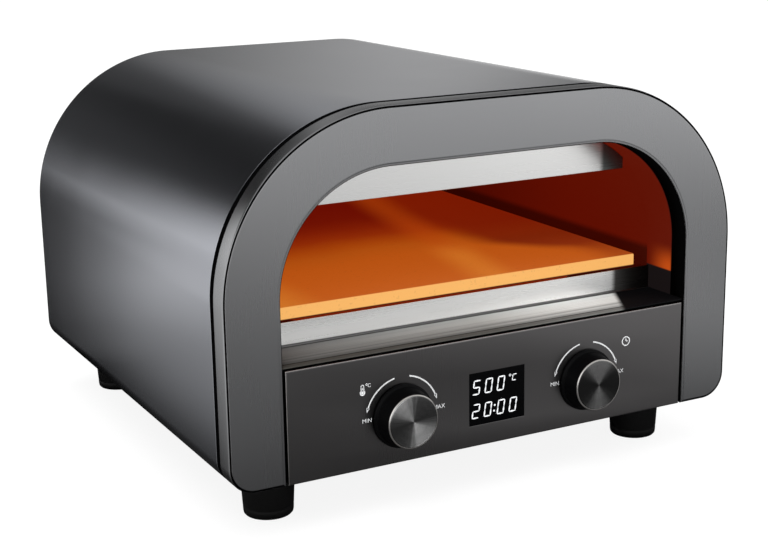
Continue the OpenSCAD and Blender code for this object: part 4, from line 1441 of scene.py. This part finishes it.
@dataclass
class Panel:
    """Control panel with its window, its digits and the legends round the dials."""

    half: float = 174.8
    height: float = 85.5
    front: float = 0.5
    rear: float = 17.0
    window: tuple[float, float] = (49.2, 41.6)
    window_z: float = 37.5
    dial_x: float = 82.0
    dial_z: float = 36.5
    gap: float = 0.3
    edge: float = 0.9
    rolled_edge: tuple[Point, ...] = ((0.12, 0.38), (0.28, 0.34), (0.5, 0.18), (0.3, 0.0))
    # rising steps of the rounded edge narrower than this take the pale steel: a painted highlight along the
    # panel's edge
    highlight_width: float = 0.4
    ink: float = 0.06
    lean: float = 0.14
    stroke: float = 1.1
    arc_r: float = 30.2
    arrow: float = 2.5
    arcs: tuple[tuple[float, float, float], ...] = ((102, 162, 250), (78, 20, -72))
    words: tuple[tuple[str, float, float, float], ...] = (("MIN", -29.4, 1.0, 4.5), ("MAX", 31.2, 1.2, 4.6))
    sign_z: float = 61.7
    upper_row: tuple[tuple[str, float], ...] = (("5", -18.2), ("0", -7.4), ("0", 3.4))
    lower_row: tuple[tuple[str, float], ...] = (("2", -18.8), ("0", -8.2), ("0", 3.4), ("0", 14.2))
    row_z: tuple[float, float] = (46.8, 28.0)

    def sheet(self) -> None:
        """Folds the panel: a rounded edge all round and an opening for the window."""
        pen = Pen(Plane.FRONT, (-self.half, 0), self.front + self.edge)
        bm = pen.line((self.half, 0), (self.half, self.height), (-self.half, self.height)).fill()
        face = bm.faces[:]
        plate(bm, self.rear - self.front - self.edge, 1.2, 3.0)
        for width, rise in self.rolled_edge:
            # painted highlight: the narrow rising steps of the edge take the pale steel
            for rim in step(bm, face, width, rise):
                rim.material_index = int(width < self.highlight_width and rise > 0)
        half_w, half_h = self.window[0] / 2 + self.gap, self.window[1] / 2 + self.gap
        cuts = [((s * half_w, 0, 0), (1, 0, 0)) for s in (-1, 1)]
        cuts += [((0, 0, self.window_z + s * half_h), (0, 0, 1)) for s in (-1, 1)]
        for place, normal in cuts:
            flat = [f for f in bm.faces
                    if abs(f.normal.y + 1) < 1e-3 and abs(f.calc_center_median().y - self.front) < 1e-3]
            geom = list({item for f in flat for item in (f, *f.edges, *f.verts)})
            bmesh.ops.bisect_plane(bm, geom=geom, plane_co=place, plane_no=normal)
            bm.normal_update()
        middle = Vector((0, self.front, self.window_z))
        offsets = [(f, f.calc_center_median() - middle) for f in bm.faces]
        hole = [f for f, off in offsets if abs(off.x) < 1 and abs(off.y) < 1e-3 and abs(off.z) < 1]
        step(bm, hole, 0.25, -0.12)
        step(bm, hole, 0.01, -1.7)
        delivery = Delivery("panel_coat", replaces=("control_panel",), bevel=0.1, segments=2)
        piece = delivery.piece(bm, "panel_sheet")
        # second material: pale steel for the painted highlight on the edge
        piece.data.materials.append(PALETTE.get("panel_edge"))

    def glass(self) -> None:
        """Sets the window's glass."""
        half_w, half_h = self.window[0] / 2, self.window[1] / 2
        bm = block((-half_w, self.front + 0.05, self.window_z - half_h),
                   (half_w, self.front + 1.75, self.window_z + half_h))
        Delivery("display_black", replaces=("display_window",), bevel=0.25).piece(bm, "window_glass")

    def bar(self, x: float, z: float, length: float, upright: bool, width: float) -> bmesh.types.BMesh:
        """A bar with pointed ends: a six-sided disc drawn out along its length.

        Args:
            x: its middle.
            z: its middle.
            length: its length.
            upright: whether it stands.
            width: its width.

        Returns:
            The mesh.
        """
        bm = bmesh.new()
        verts = bmesh.ops.create_circle(bm, cap_ends=True, segments=6, radius=width / math.sqrt(3))["verts"]
        bmesh.ops.rotate(bm, verts=verts, cent=(0, 0, 0), matrix=Matrix.Rotation(math.radians(90), 3, "Z"))
        for side in (-1, 1):
            end = [v for v in verts if v.co.y * side > 0.05]
            bmesh.ops.translate(bm, verts=end, vec=(0, side * (length - width) / 2, 0))
        laid = Matrix.Rotation(0 if upright else math.radians(90), 4, "Z")
        turn = Matrix.Rotation(math.radians(90), 4, "X") @ laid
        bmesh.ops.transform(bm, matrix=Matrix.Translation((x, 0, z)) @ turn, verts=verts)
        return bm

    def digit(self, text: str, x: float, z: float, width: float = 5.4,
              height: float = 10.6) -> list[bmesh.types.BMesh]:
        """The lit segments of one digit, leaning to the right.

        Args:
            text: the digit.
            x: its middle.
            z: its middle.
            width: between the middles of its upright segments.
            height: between the middles of its top and bottom segments.

        Returns:
            One mesh for each lit segment.
        """
        lit = {"0": "abcdef", "2": "abged", "5": "afgcd", "C": "afed"}[text]
        w, h = width / 2, height / 2
        spots = {"a": (0, h, 0), "g": (0, 0, 0), "d": (0, -h, 0), "b": (w, h / 2, 1), "c": (w, -h / 2, 1),
                 "f": (-w, h / 2, 1), "e": (-w, -h / 2, 1)}
        thin = self.stroke * min(1.0, 0.4 + height / 17)
        bars = []
        for across, up, upright in (spots[segment] for segment in lit):
            bars.append(self.bar(across, up, (h if upright else width) - 0.25, bool(upright), thin))
        lean = Matrix.Identity(4)
        lean[0][2] = self.lean
        for bm in bars:
            bmesh.ops.transform(bm, matrix=Matrix.Translation((x, 0, z)) @ lean, verts=bm.verts[:])
        return bars

    def ring(self, x: float, z: float, radius: float, width: float, first: float = 0.0,
             last: float = 360.0) -> bmesh.types.BMesh:
        """A flat ring or arc, spun from one edge.

        Args:
            x: its centre.
            z: its centre.
            radius: its middle radius.
            width: its width.
            first: where it starts, in degrees from the right, anticlockwise.
            last: where it ends.

        Returns:
            The mesh.
        """
        way = Vector((math.cos(math.radians(first)), 0, math.sin(math.radians(first))))
        pen = Pen(Plane.FRONT, (x + way.x * (radius - width / 2), z + way.z * (radius - width / 2)))
        pen.line((x + way.x * (radius + width / 2), z + way.z * (radius + width / 2)))
        bmesh.ops.spin(pen.bm, geom=pen.bm.verts[:] + pen.bm.edges[:], cent=(x, 0, z), axis=(0, -1, 0),
                       angle=math.radians(last - first), steps=max(8, int(abs(last - first) / 6)),
                       use_merge=abs(last - first) > 359)
        return pen.bm

    def head(self, x: float, z: float, degrees: float) -> bmesh.types.BMesh:
        """An arrow's head.

        Args:
            x: its middle.
            z: its middle.
            degrees: the way it points, from the right, anticlockwise.

        Returns:
            The mesh.
        """
        bm = bmesh.new()
        bmesh.ops.create_circle(bm, cap_ends=True, segments=3, radius=self.arrow)
        turn = Matrix.Rotation(math.radians(90), 4, "X") @ Matrix.Rotation(math.radians(degrees), 4, "Z")
        turn = turn @ Matrix.Diagonal((1.0, 0.62, 1.0, 1.0)) @ Matrix.Rotation(math.radians(-90), 4, "Z")
        bmesh.ops.transform(bm, matrix=Matrix.Translation((x, 0, z)) @ turn, verts=bm.verts[:])
        return bm

    def lettering(self, text: str, x: float, z: float, size: float) -> bmesh.types.BMesh:
        """Printed capitals, centred on a point.

        Args:
            text: what is printed.
            x: the point.
            z: the point.
            size: the letters' size.

        Returns:
            The flat mesh.
        """
        curve = bpy.data.curves.new("lettering", "FONT")
        curve.body = text
        curve.size = size
        curve.align_x = "CENTER"
        curve.align_y = "CENTER"
        letters = bpy.data.objects.new("lettering", curve)
        bpy.context.scene.collection.objects.link(letters)
        bpy.context.view_layer.update()
        mesh = letters.to_mesh()
        bm = bmesh.new()
        bm.from_mesh(mesh)
        letters.to_mesh_clear()
        bpy.data.objects.remove(letters)
        bpy.data.curves.remove(curve)
        turn = Matrix.Translation((x, 0, z)) @ Matrix.Rotation(math.radians(90), 4, "X")
        bmesh.ops.transform(bm, matrix=turn, verts=bm.verts[:])
        return bm

    def raise_ink(self, parts: Sequence[bmesh.types.BMesh], ground: float) -> bmesh.types.BMesh:
        """Gives flat print its thickness in front of the ground it is on.

        Args:
            parts: flat meshes at depth 0.
            ground: depth of the surface they are printed on.

        Returns:
            One closed mesh.
        """
        bm = joined(parts)
        bmesh.ops.remove_doubles(bm, verts=bm.verts, dist=1e-3)
        bm.normal_update()
        turned = [f for f in bm.faces if f.normal.y > 0]
        bmesh.ops.reverse_faces(bm, faces=turned)
        grown = bmesh.ops.extrude_face_region(bm, geom=bm.faces[:])["geom"]
        raised = [g for g in grown if isinstance(g, bmesh.types.BMVert)]
        bmesh.ops.translate(bm, verts=raised, vec=(0, -self.ink - 0.02, 0))
        bmesh.ops.translate(bm, verts=bm.verts[:], vec=(0, ground + 0.02, 0))
        bmesh.ops.recalc_face_normals(bm, faces=bm.faces[:])
        return bm

    def digits(self) -> None:
        """Lights the two rows of the display."""
        high, low = self.row_z
        parts = []
        for row, z in ((self.upper_row, high), (self.lower_row, low)):
            for text, x in row:
                parts += self.digit(text, x, z)
        parts += self.digit("C", 15.6, high + 2.9, 3.4, 4.6)
        parts.append(self.ring(11.6, high + 5.0, 0.8, 0.45))
        for drop in (-2.2, 2.2):
            dot = bmesh.new()
            bmesh.ops.create_circle(dot, cap_ends=True, segments=12, radius=0.8,
                                    matrix=Matrix.Translation((-2.4 + drop * self.lean, 0, low + drop))
                                    @ Matrix.Rotation(math.radians(90), 4, "X"))
            parts.append(dot)
        bm = self.raise_ink(parts, self.front + 0.05)
        lit = PALETTE.get("lit_segments", PrintedWhite(glow=0.25))
        Delivery("white_plastic", material=lit).piece(bm, "window_digits")

    def thermometer(self, x: float, z: float) -> list[bmesh.types.BMesh]:
        """Draws the sign of a thermometer, with the sign and letter of its degrees.

        Args:
            x: its stem.
            z: its middle.

        Returns:
            One mesh for each stroke.
        """
        strokes = [self.ring(x, z - 2.2, 1.75, 1.0), self.ring(x, z - 2.2, 0.5, 1.0)]
        strokes += [self.bar(x + side * 1.15, z + 0.7, 3.8, True, 0.6) for side in (-1, 1)]
        strokes += [self.ring(x, z + 2.5, 1.15, 0.6, 0, 180), self.bar(x, z + 0.1, 3.0, True, 0.8)]
        return strokes + [self.ring(x + 3.4, z + 3.6, 0.65, 0.4), self.lettering("C", x + 5.6, z + 2.6, 3.9)]

    def clock(self, x: float, z: float) -> list[bmesh.types.BMesh]:
        """Draws the sign of a clock: its rim and its two hands."""
        hands = [self.bar(x, z + 1.1, 2.6, True, 0.75), self.bar(x + 0.8, z, 2.1, False, 0.75)]
        return [self.ring(x, z, 3.5, 0.8)] + hands

    def legends(self) -> None:
        """Prints the arcs, arrows, words and signs."""
        parts = []
        for side in (-1, 1):
            x, z = side * self.dial_x, self.dial_z
            for first, last, way in self.arcs:
                parts.append(self.ring(x, z, self.arc_r, self.stroke, first, last))
                end = math.radians(last)
                parts.append(self.head(x + self.arc_r * math.cos(end), z + self.arc_r * math.sin(end), way))
            parts += [self.lettering(text, x + across, z + up, size) for text, across, up, size in self.words]
        parts += self.thermometer(-self.dial_x - 32.6, self.sign_z)
        parts += self.clock(self.dial_x + 38.0, self.sign_z)
        bm = self.raise_ink(parts, self.front)
        ink = PALETTE.get("panel_print", PrintedWhite())
        Delivery("white_plastic", material=ink).piece(bm, "panel_legends")

    def build(self) -> None:
        """Builds the panel and all that is on it."""
        self.sheet()
        self.glass()
        self.digits()
        self.legends()


@dataclass
class Dial:
    """One turned knob with a spun end cap and a bright chamfer."""

    name: str
    x: float
    z: float
    # direction of the cap's painted spokes, and the cap's grey, which is set per dial as painted light and
    # shade
    painted_spoke_angle: float
    painted_cap_grey: float
    reach: float = 17.0
    front_r: float = 20.75
    skirt_r: float = 24.5
    steps: int = 128

    def turned(self, profile: Sequence[Point], delivery: Delivery, name: str) -> None:
        """Turns a profile on the dial's axis, from its front end rearwards, into a piece."""
        delivery.piece(lathe(profile, (self.x, -self.reach, self.z), self.steps), f"{self.name}_{name}")

    def build(self) -> None:
        """Turns the knob, its chamfer and its cap."""
        body, rear, front_r, skirt_r = f"{self.name}_dial", self.reach - 0.3, self.front_r, self.skirt_r
        knob = [(0, 1.9), (19.55, 1.9), (19.55, 0.95), (20.1, 0.85), (20.55, 0.95), (front_r, 1.3),
                (22.3, rear - 3.2), (22.7, rear - 2.5), (skirt_r - 0.4, rear - 1.9), (skirt_r, rear - 1.5),
                (skirt_r, rear), (10, rear), (10, rear - 5), (0, rear - 5)]
        self.turned(knob, Delivery("knob_black", body, (f"{self.name}_knob",), bevel=0.25), "knob_body")
        rim = [(19.6, 0.2), (19.95, 0.22), (20.5, 0.72), (20.6, 1.2), (19.6, 1.3), (19.6, 0.2)]
        bright = PALETTE.get("panel_edge")
        chamfer = Delivery("knob_metal", body, bevel=0.06, segments=2, material=bright)
        self.turned(rim, chamfer, "knob_chamfer")
        centre = tuple(TO_ROW @ Vector((self.x, -self.reach, self.z)))
        spun = PALETTE.get(f"spun_{self.name}", SpunMetal((self.painted_cap_grey,) * 3, 0.2, centre, self.painted_spoke_angle))
        cap = [(0, 0.06), (0.5, 0.0), (19.1, 0.0), (19.5, 0.25), (19.5, 1.7), (0, 1.7)]
        disc = Delivery("knob_metal", body, (f"{self.name}_knob_cap",), bevel=0.1, segments=2, material=spun)
        self.turned(cap, disc, "cap_disc")


# ---------------------------------------------------------------------------
# Mouth and chamber
# ---------------------------------------------------------------------------


@dataclass
class Mouth:
    # Walls of the mouth, nearly black in painted shade low down and at the front and red in the painted glow
    # above, the steel sill and the baffle strip.
    """Walls of the mouth, nearly black in painted shade low down and at the front and red in the painted glow
    above, the steel sill and the baffle strip.
    """

    arch: Arch
    start: float = 18.2
    depth: float = 48.0
    ring_z: float = 87.0
    sill_half: float = 176.7
    riser: float = 18.5
    lip_start: float = 2.4
    trim_end: float = 27.0
    baffle_half: float = 148.0
    baffle_low: float = 190.5

    def ring(self) -> None:
        """Bends the walls and the arch of the mouth."""
        pen = self.arch.mouth_wire(0.0, self.ring_z, self.start)
        pull(pen.bm, pen.bm.edges[:], (0, self.depth + 2 - self.start, 0))
        facing(pen.bm, (0, 30, 100), outwards=False)
        walls = Delivery("mouth_steel", replaces=("mouth_ring",), thickness=1.0, bevel=0.2)
        walls.piece(pen.bm, "mouth_walls")

    def folded(self, points: Sequence[Point], name: str, replaces: tuple[str, ...] = (),
               slot: str = "sill_steel") -> None:
        """Folds a strip that runs the mouth's whole width.

        Args:
            points: its upper side from front to rear, depth and height.
            name: the piece's name.
            replaces: the nodes it stands for.
            slot: its material slot.
        """
        bm = Pen(Plane.SIDE, points[0], -self.sill_half).line(*points[1:]).bm
        bends = [v for v in bm.verts if len(v.link_edges) == 2]
        bmesh.ops.bevel(bm, geom=bends, offset=0.7, segments=4, profile=0.5, affect="VERTICES", material=-1)
        pull(bm, bm.edges[:], (2 * self.sill_half, 0, 0))
        bmesh.ops.recalc_face_normals(bm, faces=bm.faces[:])
        bm.normal_update()
        if sum(f.normal.z * f.calc_area() for f in bm.faces) < 0:
            bmesh.ops.reverse_faces(bm, faces=bm.faces[:])
        Delivery(slot, replaces=replaces, thickness=0.9, bevel=0.12, segments=2).piece(bm, name)

    def baffle(self) -> None:
        """Hangs the baffle strip, with its face raised inside a narrow border."""
        inset = self.arch.band + 0.4
        front, top = self.depth - 1.0, self.arch.height - inset
        x, low = self.baffle_half, self.baffle_low
        bend = self.arch.arch_r - inset
        centre = (self.arch.half - inset - bend, top - bend)
        drop = math.degrees(math.acos((x - 0.5 - centre[0]) / bend))
        side = centre[1] + bend * math.sin(math.radians(drop))
        pen = Pen(Plane.FRONT, (-x, low), front + 0.25).line((x, low), (x, side), (x - 0.5, side))
        pen.arc(centre, 90 - drop, 20).line((-centre[0], top))
        pen.arc((-centre[0], centre[1]), 90 - drop, 20).line((-x, side))
        bm = pen.fill()
        face = bm.faces[:]
        plate(bm, 0.75, 0, 0)
        step(bm, face, 0.25, 0.25)
        Delivery("sill_steel", replaces=("mouth_baffle",), bevel=0.08, segments=2).piece(bm, "baffle_strip")

    def build(self) -> None:
        """Builds what is seen in the mouth in front of the stone."""
        self.ring()
        low, top, rear, lip = self.ring_z, self.ring_z + 1.0, self.depth - 1.0, self.lip_start
        sill = [(self.trim_end + 0.3, top), (rear, top), (rear, top + self.riser)]
        self.folded(sill, "sill_fold", ("mouth_sill",))
        self.folded([(lip, low - 0.1), (lip, top), (self.trim_end, top)], "sill_lip", ("sill_trim",))
        # a black strip under the front lip: a seal, and painted shade in the slot between the lip and the
        # panel
        strip = [(lip + 1.2, low - 1.4), (lip + 1.2, low - 0.15), (9.0, low - 0.15)]
        self.folded(strip, "sill_gasket", slot="black_coat")
        self.baffle()


@dataclass
class Stone:
    """The baking stone, on its own body."""

    half: float = 165.0
    front: float = 50.0
    length: float = 330.0
    low: float = 107.0
    thick: float = 10.0

    def build(self) -> None:
        """Presses the slab: rounded corners and worn edges."""
        bm = block((-self.half, self.front, self.low),
                   (self.half, self.front + self.length, self.low + self.thick))
        upright = [e for e in bm.edges if abs((e.verts[0].co - e.verts[1].co).z) > 1]
        bmesh.ops.bevel(bm, geom=upright, offset=3.0, segments=6, profile=0.5, affect="EDGES", material=-1)
        Delivery("baking_stone", "stone", ("pizza_stone",), bevel=1.1, segments=4).piece(bm, "stone_slab")


# ---------------------------------------------------------------------------
# Feet, rear side and fasteners
# ---------------------------------------------------------------------------


@dataclass
class Feet:
    """Four moulded feet."""

    x: float = 169.0
    rows: tuple[tuple[str, float], ...] = (("front", 53.0), ("rear", 401.0))

    def build(self) -> None:
        """Turns the feet with a tread ring and a soft shoulder."""
        profile = [(2.0, 27.0), (4.6, 27.0), (4.6, 1.2), (12.5, 1.2), (13.5, 0.0), (16.4, 0.0), (17.8, 0.5),
                   (18.7, 1.5), (19.0, 3.0), (19.15, 6.2), (18.95, 6.6), (18.95, 7.4), (19.25, 7.8),
                   (20.85, 37.6), (21.0, 39.0), (21.0, 41.2), (2.0, 41.2), (2.0, 27.0)]
        for side, word in ((-1, "left"), (1, "right")):
            for row, y in self.rows:
                bm = lathe(profile, (side * self.x, y, -FOOT_HEIGHT), 72, Plane.FRONT)
                delivery = Delivery("foot_black", replaces=(f"foot_{row}_{word}",), bevel=0.3, segments=2)
                delivery.piece(bm, f"{row}_{word}_foot")


# Screws of the right half: across and height on the rear panel, across and depth under the base plate.
ARCH_SCREW = 123.5 * math.cos(math.radians(45))
REAR_SCREWS = ((211.5, 45.0), (211.5, 112.0), (88.0 + ARCH_SCREW, 134.0 + ARCH_SCREW), (60.0, 257.5),
               (90.0, 8.5))
BASE_SCREWS = ((196.0, 90.0), (196.0, 223.5), (196.0, 387.0))
FOOT_SCREW_Z = -10.8


class Side(Enum):
    """Sides that screws look to: the axis and the degrees that swing them there from the front."""

    REAR = ("Z", -180.0)
    UNDER = ("X", 90.0)


@dataclass
class Screws:
    """Pan-headed cross-recess screws in place of one node."""

    node: str
    name: str
    side: Side
    places: Sequence[tuple[float, float, float]]
    length: float = 8.0
    slot_half: float = 1.5
    steps: int = 24

    def screw(self) -> bmesh.types.BMesh:
        """Turns a head and its shank, which look forwards, and lays the cross in the head.

        Returns:
            The mesh.
        """
        profile = [(0, -2.0), (1.6, -1.95), (2.6, -1.6), (3.2, -1.1), (3.5, -0.4), (3.5, 0.0), (1.7, 0.0),
                   (1.7, self.length), (0, self.length)]
        parts = [lathe(profile, (0, 0, 0), self.steps)]
        for degrees in (45, -45):
            wing = block((-self.slot_half, -2.04, -0.26), (self.slot_half, -1.9, 0.26))
            turn = Matrix.Rotation(math.radians(degrees), 3, "Y")
            bmesh.ops.rotate(wing, verts=wing.verts[:], cent=(0, 0, 0), matrix=turn)
            parts.append(wing)
        return joined(parts)

    def build(self) -> None:
        """Puts a screw at each place, swung to its side."""
        axis, degrees = self.side.value
        parts = []
        for place in self.places:
            parts.append(self.screw())
            swing = Matrix.Translation(place) @ Matrix.Rotation(math.radians(degrees), 4, axis)
            bmesh.ops.transform(parts[-1], matrix=swing, verts=parts[-1].verts[:])
        Delivery("zinc_steel", replaces=(self.node,)).piece(joined(parts), self.name)


@dataclass
class CarriedNodes:
    """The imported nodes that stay, each in its slot's finish, some with softened edges."""

    softened: tuple[tuple[str, float], ...] = (
        ("rear_panel", 0.18), ("base_plate", 0.2), ("cord_gland", 0.6), ("gland_nut", 0.4),
        ("fan_housing", 0.4), ("fan_rotor", 0.25), ("terminal_block", 0.6), ("transformer", 0.8),
        ("relays", 0.8))

    def soften(self, node: str, width: float, slot: str, body: str) -> None:
        """Replaces a node by a copy with rounded edges.

        Args:
            node: the node.
            width: width of the rounding.
            slot: the material slot.
            body: the body it rides on.
        """
        bm = bmesh.new()
        bm.from_mesh(frame["nodes"][node].data)
        bmesh.ops.remove_doubles(bm, verts=bm.verts, dist=1e-6)
        bmesh.ops.dissolve_limit(bm, angle_limit=math.radians(1), verts=bm.verts[:], edges=bm.edges[:])
        coat = PALETTE.get("rear_coat") if slot == "black_coat" else None
        delivery = Delivery(slot, body, (node,), bevel=width, segments=2, material=coat)
        delivery.piece(bm, f"{node}_soft", Matrix.Identity(4))

    def build(self) -> None:
        """Dresses every node of the frame."""
        widths = dict(self.softened)
        for part in frame["record"]["subparts"]:
            node = frame["nodes"][part["node"]]
            node.data.materials.clear()
            node.data.materials.append(PALETTE.get(part["material_slot"]))
            if part["node"] in widths:
                self.soften(part["node"], widths[part["node"]], part["material_slot"], node["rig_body"])
        LOG.info("%d nodes dressed", len(frame["nodes"]))


def main() -> None:
    """Builds the studio and every piece, in order."""
    logging.basicConfig(level=logging.INFO, format="%(message)s")
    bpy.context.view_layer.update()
    Studio().build()
    arch = Arch()
    case, panel, feet = Case(arch), Panel(), Feet()
    CarriedNodes().build()
    case.build()
    panel.build()
    # the timer's cap gets a much darker grey than the temperature cap: painted shade on the same metal
    Dial("temp", -panel.dial_x, panel.dial_z, painted_spoke_angle=308.0, painted_cap_grey=0.265).build()
    Dial("timer", panel.dial_x, panel.dial_z, painted_spoke_angle=90.0, painted_cap_grey=0.085).build()
    Mouth(arch).build()
    Stone().build()
    feet.build()
    rear = [(side * x, case.depth, z) for side in (-1, 1) for x, z in REAR_SCREWS]
    under = [(side * x, y, 0.0) for side in (-1, 1) for x, y in BASE_SCREWS]
    sunk = [(side * feet.x, y, FOOT_SCREW_Z) for side in (-1, 1) for _, y in feet.rows]
    Screws("rear_panel_screws", "rear_screws", Side.REAR, rear).build()
    Screws("base_screws", "under_screws", Side.UNDER, under).build()
    Screws("foot_screws", "sunk_screws", Side.UNDER, sunk).build()


if __name__ == "__main__":
    main()
